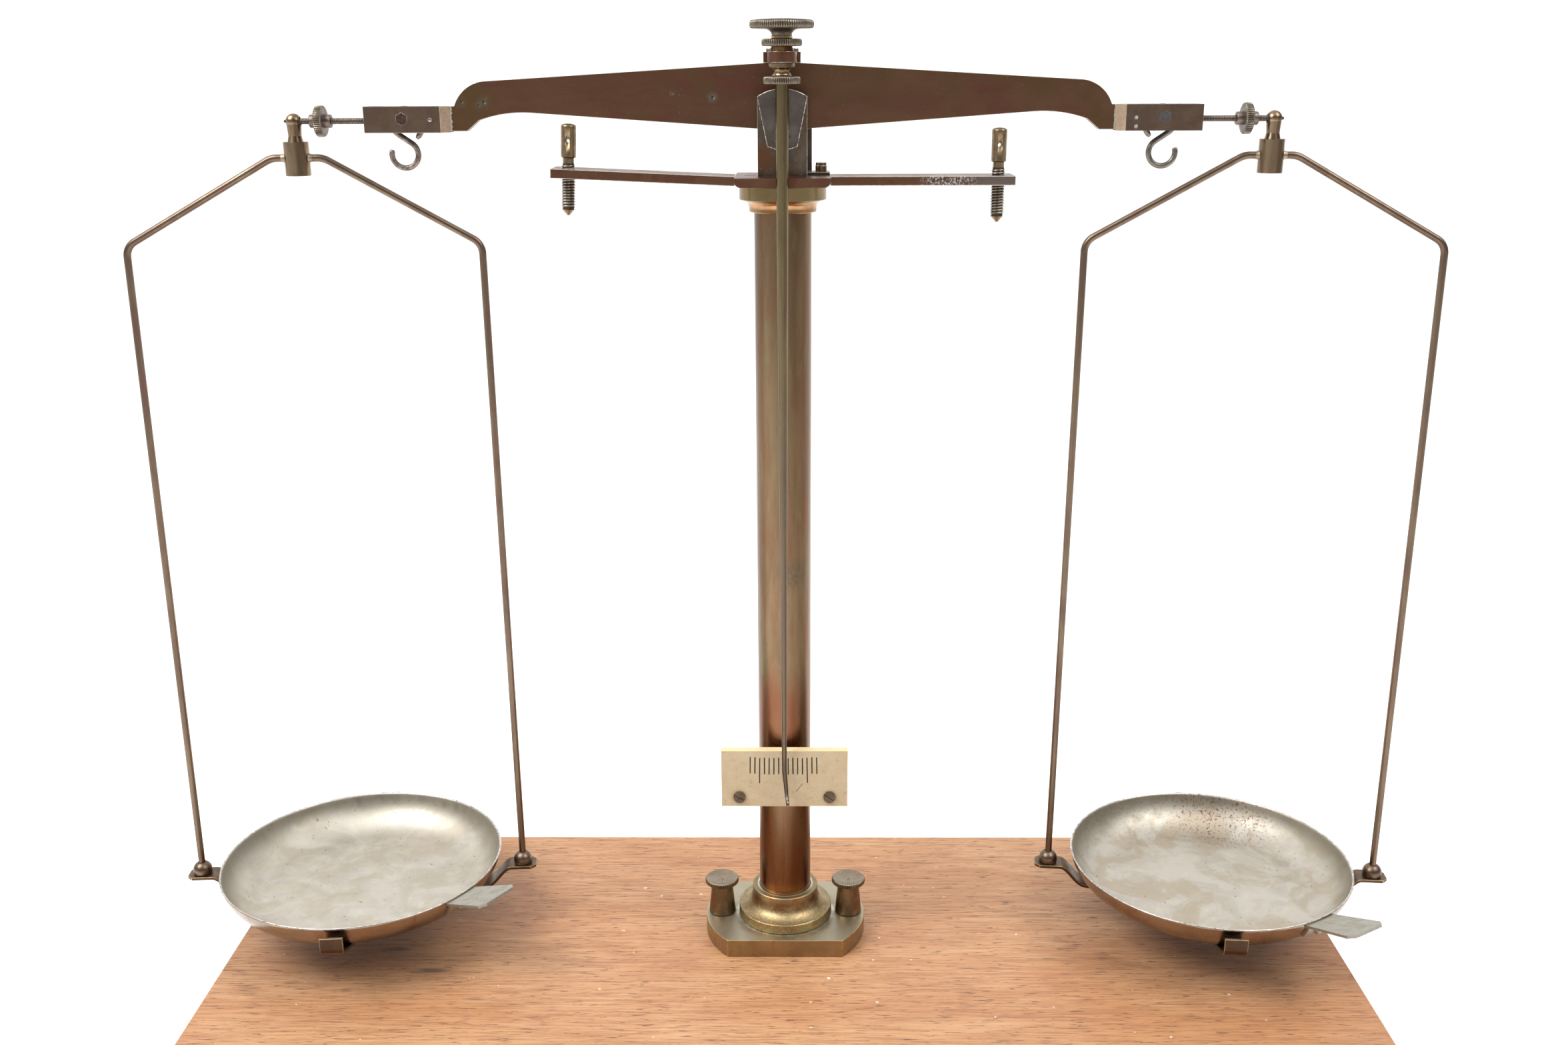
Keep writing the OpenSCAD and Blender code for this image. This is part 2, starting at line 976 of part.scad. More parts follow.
// Long tapering rod with a threaded top and a slightly bent, flattened tip
module pointer() {
    taper_z1 = 11;
    bend_z = -315;
    top_z = 35.5;
    tip_length = 19;
    tip_lean = 5;
    tip_r = 1.15;
    color(brass)
        translate([0, -pointer_y, z_knife]) {
            translate([0, 0, bend_z])
                cylinder(h = taper_z1 - bend_z, r1 = tip_r, r2 = pointer_r);
            translate([0, 0, taper_z1])
                cylinder(h = top_z - taper_z1, r = pointer_r);
            translate([0, 0, bend_z])
                rotate([0, -tip_lean, 0])
                    translate([0, 0, -tip_length])
                        cylinder(h = tip_length, r1 = 0.8, r2 = tip_r);
        }
}

// Collar under the bracket, a waist and a knurled disc
module lower_lock_nut() {
    disc_r = 8.1;
    disc_h = 3.1;
    collar_r = 5.65;
    collar_h = 2.2;
    waist_r = 4.8;
    full_h = seat_z - lock_nut_z;
    waist_h = full_h - disc_h - collar_h;
    color(brass)
        translate([0, -pointer_y, z_knife + lock_nut_z])
            rotate_extrude()
                difference() {
                    translate([pointer_r + fit, 0])
                        square([disc_r - pointer_r - fit, full_h]);
                    translate([collar_r, disc_h])
                        square([disc_r, full_h]);
                    translate([collar_r, disc_h + waist_h / 2])
                        circle(waist_h / 2);
                    translate([waist_r, disc_h])
                        square([disc_r, waist_h]);
                }
}

module upper_lock_nut() {
    flare_h = 2.2;
    flare_r0 = 5.4;
    flare_r1 = 4.4;
    disc_h = 2.9;
    disc_r = 8.75;
    color(brass)
        translate([0, -pointer_y, z_knife + seat_z + bracket_t + gap])
            difference() {
                union() {
                    cylinder(h = flare_h, r1 = flare_r0, r2 = flare_r1);
                    translate([0, 0, flare_h])
                        cylinder(h = disc_h, r = disc_r);
                }
                translate([0, 0, -cut])
                    cylinder(h = flare_h + disc_h + 2 * cut, r = pointer_r + fit);
            }
}

// Capped nut with a broad knurled head; screwing it up or down sets the sensitivity
module gravity_nut() {
    neck_h = 4.2;
    neck_r = 4.65;
    disc_h = 3.3;
    disc_r = 13.9;
    crown_h = 0.8;
    bore_h = 5.7;
    color(brass)
        translate([0, -pointer_y, z_knife + seat_z + bracket_t + gravity_nut_gap])
            difference() {
                union() {
                    cylinder(h = neck_h, r = neck_r);
                    translate([0, 0, neck_h])
                        cylinder(h = disc_h, r = disc_r);
                    translate([0, 0, neck_h + disc_h])
                        cylinder(h = crown_h, r1 = disc_r, r2 = disc_r / 3);
                }
                translate([0, 0, -cut])
                    cylinder(h = bore_h + cut, r = pointer_r + fit);
            }
}

// ---- S-hooks on the end knives ----

// Open loop below, a straight run across, and a loop over the knife that widens to its end
module s_hook(side) {
    wire_r = hook_wire / 2;
    low = [arm_length + 0.9, -18.8];
    low_r = 6;
    low_end = 380;
    high = [arm_length - 0.1, -4.8];
    high_r = 6.2;
    end_r = 7.4;
    end_angle = 140;
    span = high - low;
    lean = atan2(span[1], span[0]) - asin((low_r + high_r) / norm(span));
    straight = sqrt(span * span - pow(low_r + high_r, 2));
    lap_angle = lap * 180 / (PI * end_r);
    color(steel)
        translate([0, 0, z_knife])
            on_side(side)
                rotate([90, 0, 0])
                    union() {
                        translate([low[0], low[1], 0])
                            rotate([0, 0, lean + 90])
                                wire_bend(low_r, wire_r, low_end - lean - 90);
                        translate([high[0], high[1], 0])
                            rotate([0, 0, lean - 90])
                                wire_bend(high_r, wire_r, 180 - lean);
                        translate([high[0], high[1] + high_r - end_r, 0])
                            rotate([0, 0, 90 - lap_angle])
                                wire_bend(end_r, wire_r - nest, end_angle + lap_angle);
                        translate([low[0] + low_r * cos(lean + 90), low[1] + low_r * sin(lean + 90), 0])
                            rotate([0, 0, lean])
                                rod_x(wire_r - nest, -lap, straight + lap);
                    }
}

module s_hook_left() {
    s_hook(-1);
}

module s_hook_right() {
    s_hook(1);
}

// ---- hangers: eye, swivel barrel and bail ----

// Pear-shaped eye on the balance rod, with a headed stem that turns in the barrel
module hanger_eye(side) {
    ball_r = 3.5;
    neck_r = 2.9;
    neck_z = -6.4;
    cheek_r = 3.3;
    cheek_z = 1.4;
    foot_z0 = barrel_z1 - rod_z + gap;
    head_z1 = barrel_z1 - rod_z - barrel_wall - loose;
    head_h = 2;
    head_r = 3;
    bore = 1.9;
    color(brass)
        translate([side * hang_x, 0, z_knife + rod_z])
            difference() {
                union() {
                    sphere(ball_r);
                    translate([0, 0, neck_z])
                        cylinder(h = -neck_z - cheek_z, r1 = neck_r, r2 = cheek_r);
                    translate([0, 0, foot_z0])
                        cylinder(h = neck_z - foot_z0, r1 = ball_r, r2 = neck_r);
                    translate([0, 0, head_z1 - cut])
                        cylinder(h = foot_z0 - head_z1 + cut, r = stem_r);
                    translate([0, 0, head_z1 - head_h])
                        cylinder(h = head_h, r = head_r);
                }
                rod_x(bore, -2 * ball_r, 2 * ball_r);
            }
}

module hanger_eye_left() {
    hanger_eye(-1);
}

module hanger_eye_right() {
    hanger_eye(1);
}

function turn_of(side) = side < 0 ? left_turn : right_turn;

// Barrel bored from below for the eye's head and across for the bail wire
module hanger_barrel(side) {
    bore = 3.4;
    color(brass)
        translate([side * hang_x, 0, z_knife])
            rotate([0, 0, turn_of(side)])
                difference() {
                    translate([0, 0, barrel_z1 - barrel_h])
                        cylinder(h = barrel_h, r = barrel_r);
                    translate([0, 0, barrel_z1 - barrel_h - cut])
                        cylinder(h = barrel_h - barrel_wall + cut, r = bore);
                    translate([0, 0, barrel_z1 - barrel_wall - cut])
                        cylinder(h = barrel_wall + 2 * cut, r = stem_r + fit);
                    translate([0, 0, wire_z])
                        rod_x(bail_r + fit, -2 * barrel_r, 2 * barrel_r);
                }
}

module hanger_barrel_left() {
    hanger_barrel(-1);
}

module hanger_barrel_right() {
    hanger_barrel(1);
}

// Half of the bail, from its crown outwards, over the shoulder and down one splayed leg
module half_bail() {
    s = shoulder_slope;
    slope_x0 = crown_x + crown_r * sin(s);
    slope_z0 = wire_z - crown_r * (1 - cos(s));
    shoulder_x = shoulder_w / 2 - shoulder_r;
    slope_length = (shoulder_x + shoulder_r * sin(s) - slope_x0) / cos(s);
    shoulder_z = slope_z0 - slope_length * sin(s) - shoulder_r * cos(s);
    foot = [leg_x - shoulder_x, foot_z - z_knife - shoulder_z];
    leg_length = sqrt(foot * foot - shoulder_r * shoulder_r);
    splay = atan2(foot[1], foot[0]) - atan2(-leg_length, shoulder_r);
    translate([crown_x, 0, wire_z - crown_r])
        rotate([90, 0, 0])
            rotate([0, 0, 90 - s])
                wire_bend(crown_r, bail_r, s);
    translate([slope_x0, 0, slope_z0])
        rotate([0, s, 0])
            rod_x(bail_r - nest, -lap, slope_length + lap);
    translate([shoulder_x, 0, shoulder_z])
        rotate([90, 0, 0])
            rotate([0, 0, splay])
                wire_bend(shoulder_r, bail_r, 90 - s - splay);
    translate([leg_x, 0, foot_z - z_knife])
        rotate([0, -splay, 0])
            translate([0, 0, -leg_below])
                cylinder(h = leg_length + leg_below + lap, r = bail_r - nest);
}

module bail_wire(side) {
    color(brass)
        translate([side * hang_x, 0, z_knife])
            rotate([0, 0, turn_of(side)]) {
                translate([0, 0, wire_z])
                    rod_x(bail_r - nest, -crown_x - lap, crown_x + lap);
                both_sides()
                    half_bail();
            }
}

module bail_wire_left() {
    bail_wire(-1);
}

module bail_wire_right() {
    bail_wire(1);
}

// Ball nuts that clamp a bail's feet on the cross
module foot_nuts(side) {
    ball_r = 4.8;
    ball_z = 1.9;
    color(brass)
        translate([side * hang_x, 0, foot_z])
            rotate([0, 0, turn_of(side)])
                for (x = [-leg_x, leg_x])
                    translate([x, 0, 0])
                        difference() {
                            translate([0, 0, ball_z])
                                sphere(ball_r);
                            translate([0, 0, -ball_r])
                                cylinder(h = ball_r, r = 2 * ball_r);
                            translate([0, 0, -ball_r])
                                cylinder(h = 4 * ball_r, r = bail_r + nest);
                        }
}

module foot_nuts_left() {
    foot_nuts(-1);
}

module foot_nuts_right() {
    foot_nuts(1);
}

// ---- pan cross, pans and thumb tabs ----

// Upper side of a long arm: flat under the pan, an ogee up, and a flat foot
function long_arm_path(reach) = concat(
    [[0, cross_z]],
    [for (i = [0:8])
        let (u = i / 8)
        [ogee_x0 + u * (ogee_x1 - ogee_x0), cross_z + (foot_z - cross_z) * (1 - cos(180 * u)) / 2]],
    [[reach, foot_z]]);

// Upper side of a short arm: it follows the pan's corner, runs straight, and turns up in a lip
function short_arm_path() =
    let (
        hug = 20,
        lip_r = 3,
        corner = [pan_corner_x(), pan_z + pan_corner_r],
        hug_r = pan_corner_r + gap,
        hug_end = corner + hug_r * [sin(hug), -cos(hug)],
        bend_x = clip_x - cross_t - lip_r * (1 - sin(hug)),
        bend_z = hug_end[1] + (bend_x - hug_end[0]) * tan(hug))
    concat(
        [[0, cross_z]],
        [for (i = [0:4]) let (a = hug * i / 4) corner + hug_r * [sin(a), -cos(a)]],
        [for (i = [0:6])
            let (a = hug + (90 - hug) * i / 6)
            [bend_x + lip_r * (sin(a) - sin(hug)), bend_z + lip_r * (cos(hug) - cos(a))]],
        [[clip_x - cross_t, clip_z1]]);

module long_arm() {
    reach = leg_x + 7;
    chamfer = 2.5;
    difference() {
        along_y(cross_w)
            strip(long_arm_path(reach), cross_t);
        for (y = [-1, 1])
            translate([reach, y * cross_w / 2, foot_z])
                rotate([0, 0, 45])
                    cube([chamfer * sqrt(2), chamfer * sqrt(2), 4 * cross_t], center = true);
        translate([leg_x, 0, foot_z - 2 * cross_t])
            cylinder(h = 4 * cross_t, r = bail_r + nest);
    }
}

module pan_cross(side) {
    color(brass)
        translate([side * hang_x, 0, 0])
            rotate([0, 0, turn_of(side)])
                union() {
                    both_sides()
                        long_arm();
                    for (a = [90, -90])
                        rotate([0, 0, a])
                            along_y(cross_w)
                                strip(short_arm_path(), cross_t);
                }
}

module pan_cross_left() {
    pan_cross(-1);
}

module pan_cross_right() {
    pan_cross(1);
}

// Distance from a pan's axis to the centre of its corner's arc
function pan_corner_x() =
    pan_d / 2 - pan_corner_r * sin(acos((pan_corner_r - pan_depth) / pan_corner_r));

// Half section of the pan's space, inset from its outer surface
module pan_section(inset) {
    r = pan_corner_r - inset;
    cx = pan_corner_x();
    intersection() {
        union() {
            translate([cx, pan_corner_r])
                circle(r);
            translate([0, inset])
                square([cx, 2 * pan_corner_r]);
        }
        square([pan_d, pan_depth]);
    }
}

module pan(side) {
    color(nickel)
        translate([side * hang_x, 0, pan_z])
            rotate_extrude()
                difference() {
                    pan_section(0);
                    pan_section(pan_t);
                }
}

module pan_left() {
    pan(-1);
}

module pan_right() {
    pan(1);
}

// Sloping flared thumb tab on a riveted flange that follows the pan's wall
module pan_tab(side, turn) {
    root_half = 9.6;
    tip_half = 12;
    tab_length = 30;
    tab_t = 1.3;
    flange_z = 8.5;
    flange_angle = 13;
    root_z = pan_depth - 2.6;
    rivet_at = 69.6;
    corner = 3;
    color(nickel)
        translate([side * hang_x, 0, pan_z])
            rotate([0, 0, turn]) {
                difference() {
                    translate([pan_d / 2 - 1.5, 0, root_z])
                        rotate([0, -tab_slope, 0])
                            linear_extrude(tab_t)
                                polygon([[0, -root_half], [tab_length - corner, -tip_half],
                                         [tab_length, corner - tip_half], [tab_length, tip_half - corner],
                                         [tab_length - corner, tip_half], [0, root_half]]);
                    rotate_extrude()
                        pan_section(0);
                }
                rotate([0, 0, -flange_angle / 2])
                    rotate_extrude(angle = flange_angle)
                        intersection() {
                            difference() {
                                pan_section(-tab_t);
                                pan_section(0);
                            }
                            translate([0, flange_z])
                                square([pan_d, root_z - flange_z + 0.4]);
                        }
                translate([rivet_at, 0, flange_z + 3])
                    rotate([0, 90 + 25, 0])
                        intersection() {
                            cylinder(h = 4, r = 2);
                            translate([0, 0, -1])
                                sphere(4);
                        }
            }
}

module pan_tab_left() {
    pan_tab(-1, tab_turn_left);
}

module pan_tab_right() {
    pan_tab(1, tab_turn_right);
}

wood_base();
thread_inserts();
base_plate();
foot_moulding();
column_tube();
column_cap();
tie_rod();
tie_rod_nut();
tie_rod_washer();
top_plate();
cap_screws();
rest_arm_left();
rest_arm_right();
bearing_fork();
fork_bolt();
bearing_blocks();
cover_screws();
cover_front();
cover_rear();
index_bracket();
index_plate();
index_screws();
stop_screw_left();
stop_screw_right();
thumb_screw_left();
thumb_screw_right();
beam();
centre_knife();
end_block_left();
end_block_right();
block_pins();
end_knife_left();
end_knife_right();
balance_rod_left();
balance_rod_right();
balance_nut_left();
balance_nut_right();
pointer_bracket();
bracket_screws();
pointer();
lower_lock_nut();
upper_lock_nut();
gravity_nut();
s_hook_left();
s_hook_right();
hanger_eye_left();
hanger_eye_right();
hanger_barrel_left();
hanger_barrel_right();
bail_wire_left();
bail_wire_right();
foot_nuts_left();
foot_nuts_right();
pan_cross_left();
pan_cross_right();
pan_left();
pan_right();
pan_tab_left();
pan_tab_right();
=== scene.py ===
"""The looks of the equal arm balance scale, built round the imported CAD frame.

Everything is in metres in the frame's own axes: X along the beam, Y from front to back, Z up.
Boxy CAD nodes are replaced by copies with worn, rounded edges. Turned parts get real knurling,
threads and rounded rims inside the CAD envelope, and the hooks are bent from wire. Solder is added
at the bails' ends. The other nodes keep their CAD mesh.
"""

import json
import math

import bmesh
import bpy
from mathutils import Matrix, Vector

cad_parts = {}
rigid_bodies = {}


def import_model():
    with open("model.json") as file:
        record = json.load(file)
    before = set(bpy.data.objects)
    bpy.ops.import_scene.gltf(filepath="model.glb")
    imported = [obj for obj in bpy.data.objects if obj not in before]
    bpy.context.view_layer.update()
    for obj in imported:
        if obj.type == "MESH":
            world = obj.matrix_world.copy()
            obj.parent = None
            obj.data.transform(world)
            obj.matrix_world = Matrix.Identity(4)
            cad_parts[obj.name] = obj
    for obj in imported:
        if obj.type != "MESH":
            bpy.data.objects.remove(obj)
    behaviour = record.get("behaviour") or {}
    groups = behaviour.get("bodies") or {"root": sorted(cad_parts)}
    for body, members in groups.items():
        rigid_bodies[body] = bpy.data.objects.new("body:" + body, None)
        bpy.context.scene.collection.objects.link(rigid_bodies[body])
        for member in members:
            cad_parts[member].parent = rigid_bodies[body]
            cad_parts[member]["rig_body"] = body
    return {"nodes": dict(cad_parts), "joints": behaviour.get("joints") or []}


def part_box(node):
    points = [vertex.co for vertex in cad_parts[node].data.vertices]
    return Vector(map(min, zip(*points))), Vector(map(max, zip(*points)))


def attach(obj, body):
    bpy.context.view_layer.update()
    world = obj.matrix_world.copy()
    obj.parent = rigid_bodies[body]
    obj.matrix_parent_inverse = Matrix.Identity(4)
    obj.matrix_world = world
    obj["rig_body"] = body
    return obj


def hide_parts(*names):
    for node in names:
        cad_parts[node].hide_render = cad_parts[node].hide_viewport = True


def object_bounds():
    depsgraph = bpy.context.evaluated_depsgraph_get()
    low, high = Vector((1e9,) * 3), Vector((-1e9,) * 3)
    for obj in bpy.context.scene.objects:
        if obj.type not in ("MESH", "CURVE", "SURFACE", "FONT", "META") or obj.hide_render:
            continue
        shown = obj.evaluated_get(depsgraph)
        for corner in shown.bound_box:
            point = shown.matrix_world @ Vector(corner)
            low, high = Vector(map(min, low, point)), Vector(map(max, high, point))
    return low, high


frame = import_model()
nodes = frame["nodes"]
cad_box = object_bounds()
MM = 0.001
SIDES = {"left": -1, "right": 1}


def link(name, data):
    """A new object in the scene."""
    made = bpy.data.objects.new(name, data)
    bpy.context.scene.collection.objects.link(made)
    return made


# ---- camera, at the photograph's viewing angle ----

LENS, SENSOR = 34.21, 36.0
EYE = Vector((0.0061, -0.697, 0.4527))
PITCH, YAW, ROLL = (math.radians(a) for a in (16.75, 0.5, 0.2))


def make_camera():
    forward = Vector((-math.sin(YAW) * math.cos(PITCH), math.cos(YAW) * math.cos(PITCH), -math.sin(PITCH)))
    level = Vector((math.cos(YAW), math.sin(YAW), 0))
    above = level.cross(forward)
    right = level * math.cos(ROLL) - above * math.sin(ROLL)
    up = level * math.sin(ROLL) + above * math.cos(ROLL)
    camera = link("camera", bpy.data.cameras.new("camera"))
    camera.data.lens, camera.data.sensor_width = LENS, SENSOR
    camera.matrix_world = Matrix.Translation(EYE) @ Matrix((right, up, -forward)).transposed().to_4x4()
    bpy.context.scene.camera = camera


# ---- node graphs ----


class Graph:
    """The node tree of a material, whose positions are in millimetres, or of a world, with directions."""

    def __init__(self, owner, space="Object", unit=MM):
        owner.use_nodes = True
        self.owner, self.tree, self.colour = owner, owner.node_tree, None
        self.tree.nodes.clear()
        place = self.add("TexCoord").outputs[space]
        self.place = self.add("VectorMath", {0: place, 1: (1 / unit,) * 3}, operation="MULTIPLY").outputs[0]
        split = self.add("SeparateXYZ", {0: self.place})
        self.x, self.y, self.z = split.outputs

    def add(self, kind, inputs=None, **settings):
        made = self.tree.nodes.new("ShaderNode" + kind)
        for key, value in settings.items():
            setattr(made, key, value)
        for key, value in (inputs or {}).items():
            self.feed(made.inputs[key], value)
        return made

    def feed(self, socket, value):
        """Links another node's output to the socket, or sets the socket's own value."""
        if isinstance(value, bpy.types.NodeSocket):
            self.tree.links.new(value, socket)
        else:
            socket.default_value = value

    def math(self, operation, a, b=0.0, clamp=False):
        return self.add("Math", {0: a, 1: b}, operation=operation, use_clamp=clamp).outputs[0]

    def plus(self, a, b):
        return self.math("ADD", a, b)

    def minus(self, a, b):
        return self.math("SUBTRACT", a, b)

    def times(self, a, b, clamp=False):
        return self.math("MULTIPLY", a, b, clamp)

    def apart(self, a, b=None):
        """How far a is from b, or from 0."""
        return self.math("ABSOLUTE", a if b is None else self.minus(a, b))

    def facing(self, axis):
        """The surface normal's share along a world axis, numbered 0 to 2."""
        return self.add("SeparateXYZ", {0: self.add("NewGeometry").outputs["Normal"]}).outputs[axis]

    def noise(self, scale, stretch=(1, 1, 1), detail=3.0, rough=0.5, warp=0.0, shift=(0, 0, 0)):
        """Noise of 0 to 1 whose features are about 1/scale millimetres, longer where stretch is smaller."""
        vector = self.add("Mapping", {"Vector": self.place, "Location": shift,
                                      "Scale": tuple(scale * s for s in stretch)}).outputs[0]
        return self.add("TexNoise", {"Vector": vector, "Scale": 1.0, "Detail": detail,
                                     "Roughness": rough, "Distortion": warp}).outputs["Fac"]

    def step(self, value, low, high, to=(0, 1)):
        """Smooth step of value from low to high."""
        return self.add("MapRange", {"Value": value, "From Min": low, "From Max": high,
                                     "To Min": to[0], "To Max": to[1]},
                        interpolation_type="SMOOTHSTEP").outputs[0]

    def mix(self, share, a, b, blend="MIX"):
        made = self.add("Mix", data_type="RGBA", blend_type=blend)
        for key, value in ((0, share), (6, a), (7, b)):
            self.feed(made.inputs[key], (*value, 1) if isinstance(value, tuple) else value)
        return made.outputs[2]

    def tint(self, share, tone, blend="MIX"):
        """Mixes a share of another tone into the surface's colour."""
        self.colour = self.mix(share, self.colour, tone, blend)

    def near(self, centre, r, soft):
        """1 inside a sphere round centre, falling to 0 over soft millimetres."""
        away = self.add("VectorMath", {0: self.place, 1: centre}, operation="DISTANCE").outputs["Value"]
        return self.step(away, r, r + soft, (1.0, 0))

    def radius(self):
        """Distance from the column's axis."""
        flat = self.add("VectorMath", {0: self.place, 1: (1, 1, 0)}, operation="MULTIPLY").outputs[0]
        return self.add("VectorMath", {0: flat}, operation="LENGTH").outputs["Value"]

    def finish(self, roughness, height, depth, metallic=1.0, **constants):
        """The surface shader: depth is the bump's depth in millimetres."""
        bump = self.add("Bump", {"Height": height, "Distance": depth * MM, "Strength": 1.0}).outputs[0]
        shader = self.add("BsdfPrincipled", {"Base Color": self.colour, "Roughness": roughness,
                                             "Metallic": metallic, "Normal": bump})
        for key, value in constants.items():
            shader.inputs[key.replace("_", " ")].default_value = value
        self.add("OutputMaterial", {"Surface": shader.outputs[0]})
        return self.owner


def shaded_sides(g, share):
    """Painted shade: darker where an upright round bar's surface faces right of the front, and a little at its far
    left.
    """
    across = g.facing(0)
    right = g.step(g.apart(across, 0.55), 0.12, 0.5, (share, 0))
    left = g.step(across, -0.55, -0.85, (0.0, share * 0.6))
    # Painted shade multiplied into the colour, following the surface's direction in the world
    for side in (right, left):
        g.tint(side, (0.42, 0.39, 0.34), "MULTIPLY")


def metal(name, clean, aged, tint, dirt, rough=(0.3, 0.5), blotch=0.06, streak=(1, 1, 1), tinted=(0.5, 0.75),
          pits=0.0, extra=None, shaded=0.0, depth=0.02):
    """Aged metal: clean metal showing through patina, streaks of another tone, specks of dirt and fine scratches."""
    g = Graph(bpy.data.materials.new(name))
    patina = g.noise(blotch, streak, 5, 0.62, 0.3)
    g.colour = g.mix(g.step(patina, 0.36, 0.64), clean, aged)
    tone = g.noise(blotch * 1.7, streak, 4, 0.6, 0.5, (31, 7, 13))
    g.tint(g.step(tone, *tinted), tint)
    grime = g.noise(0.9, detail=5, rough=0.7, shift=(5, 41, 3))
    g.tint(g.step(grime, 0.6, 0.78, (0, 0.55)), dirt)
    scratches = g.noise(2.2, tuple(0.12 if s < 1 else 1.0 for s in streak), 4, 0.7, 0.0, (3, 17, 29))
    pitting = g.noise(1.6, detail=4, rough=0.75, shift=(11, 2, 19))
    pitted = g.step(pitting, 0.62, 0.72, (0.0, pits))
    g.tint(pitted, dirt)
    if extra:
        extra(g)
    # shaded is the share of painted shade on the sides of an upright round bar
    if shaded:
        shaded_sides(g, shaded)
    rough_now = g.step(g.plus(g.times(patina, 0.6), g.times(scratches, 0.4)),
                       0.32, 0.68, rough)
    height = g.minus(g.times(scratches, 0.5), pitted)
    return g.finish(rough_now, height, depth)


def mm_box(node):
    """A CAD node's lowest and highest corners in millimetres."""
    low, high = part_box(node)
    return low / MM, high / MM


# Places on the CAD nodes, in millimetres, that the marks keep to
knife_z = mm_box("centre_knife")[0].z
beam_face_y = mm_box("beam")[0].y
block_x0 = mm_box("end_block_right")[0].x
plate_z = mm_box("base_plate")[1].z
ring_r = mm_box("foot_moulding")[1].x
tube_r = mm_box("column_tube")[1].x
column_z0, column_z1 = mm_box("column_tube")[0].z, mm_box("column_tube")[1].z
index_low, index_high = mm_box("index_plate")
hang_x = sum(corner.x for corner in mm_box("pan_right")) / 2
pan_top = mm_box("pan_right")[1].z


# Corroded spots on the beam's front: place along it, height above the centre knife's edge, radius
SPOTS = ((-144.5, 4.4, 1.5), (-136.9, 2.7, 1.2), (-134.4, 4.2, 1.5), (-31.4, 5.9, 1.3), (-49.5, 7.6, 0.6))


def beam_marks(g):
    """Pale green spots with a dark pit in each, olive clouds, flecks, and solder beside each end block."""
    broken = g.noise(0.8, detail=4, rough=0.7)
    for x, above, r in SPOTS:
        z = knife_z + above
        halo = g.times(g.near((x, beam_face_y, z), r * 0.5, r * 2.2), g.step(broken, 0.3, 0.6))
        g.tint(g.times(halo, 0.6), (0.2, 0.21, 0.17))
        g.tint(g.near((x, beam_face_y, z), r * 0.25, r * 0.3), (0.02, 0.035, 0.03))
        rim = g.near((x + r * 0.5, beam_face_y, z - r * 0.35), r * 0.15, r * 0.3)
        g.tint(g.times(rim, 0.8), (0.42, 0.47, 0.4))
    olive = g.step(g.noise(0.022, detail=5, rough=0.65, warp=0.8, shift=(15, 0, 6)), 0.46, 0.62, (0, 0.7))
    g.tint(olive, (0.125, 0.078, 0.036))
    flecks = g.step(g.noise(1.2, detail=2, rough=0.4, shift=(6, 3, 1)), 0.7, 0.74, (0, 0.5))
    g.tint(flecks, (0.34, 0.27, 0.19))
    ragged = g.times(g.minus(g.noise(0.9, detail=3), 0.5), 1.6)
    away = g.apart(g.plus(g.apart(g.x), ragged), block_x0 - 0.3)
    g.tint(g.step(away, 0.3, 0.5, (0.9, 0)), (0.62, 0.6, 0.5))


def arm_marks(g):
    """The right arm's outer end is greyer, with a silvery speckled patch just inside its screw."""
    g.tint(g.step(g.x, 80, 92, (0, 0.6)), (0.2, 0.185, 0.165))
    low = mm_box("rest_arm_right")[0]
    patch = g.near((75, low.y, low.z + 2), 6, 9)
    specks = g.step(g.noise(1.3, detail=4, rough=0.7), 0.52, 0.58)
    g.tint(g.times(patch, specks), (0.6, 0.62, 0.62))


def column_marks(g):
    """Rosy and green tarnish down the column, redder and darker towards its foot, and a dark smudge."""
    stretched = (1, 1, 0.12)
    rosy = g.noise(0.16, stretched, 4, 0.6, 0.4, (3, 9, 1))
    g.tint(g.step(rosy, 0.5, 0.72, (0, 0.6)), (0.2, 0.085, 0.05))
    green = g.noise(0.13, (1, 1, 0.25), 3, 0.6, 0.4, (23, 5, 8))
    g.tint(g.step(green, 0.56, 0.74, (0, 0.5)), (0.2, 0.19, 0.095))
    band = g.near((0, -tube_r, index_high.z + 14), 6, 26)
    g.tint(g.times(band, g.step(rosy, 0.3, 0.6, (0.4, 0.75))), (0.2, 0.068, 0.035))
    low = g.step(g.z, column_z0 + 60, column_z0 + 2)
    g.tint(g.times(low, g.step(rosy, 0.3, 0.65, (0.2, 0.7))), (0.15, 0.055, 0.02))
    smudge = g.near((5, -12, column_z0 + 175), 3, 8)
    g.tint(g.times(smudge, g.step(g.noise(0.6, detail=4), 0.3, 0.7, (0.1, 0.7))), (0.1, 0.09, 0.07))
    flame = g.step(g.plus(g.z, g.times(rosy, 8)), column_z0 + 12, column_z0 + 3)
    g.tint(g.times(flame, 0.7), (0.38, 0.2, 0.07))


def plate_marks(g):
    """Greyer top, with pale dried polish round the moulding's foot and grime further out."""
    r = g.radius()
    g.tint(g.step(g.z, plate_z - 0.4, plate_z - 0.1, (0, 0.75)), (0.46, 0.42, 0.32))
    ragged = g.times(g.noise(0.7, detail=4), 1.2)
    ring = g.step(g.minus(r, ragged), ring_r + 0.2, ring_r + 1.3, (0.85, 0))
    g.tint(g.times(ring, g.step(g.z, plate_z - 0.3, plate_z - 0.1)), (0.66, 0.65, 0.56))
    grime = g.times(g.step(r, ring_r + 6, ring_r + 1), g.step(g.noise(0.3, detail=4), 0.35, 0.6))
    g.tint(g.times(grime, 0.35), (0.12, 0.09, 0.05))


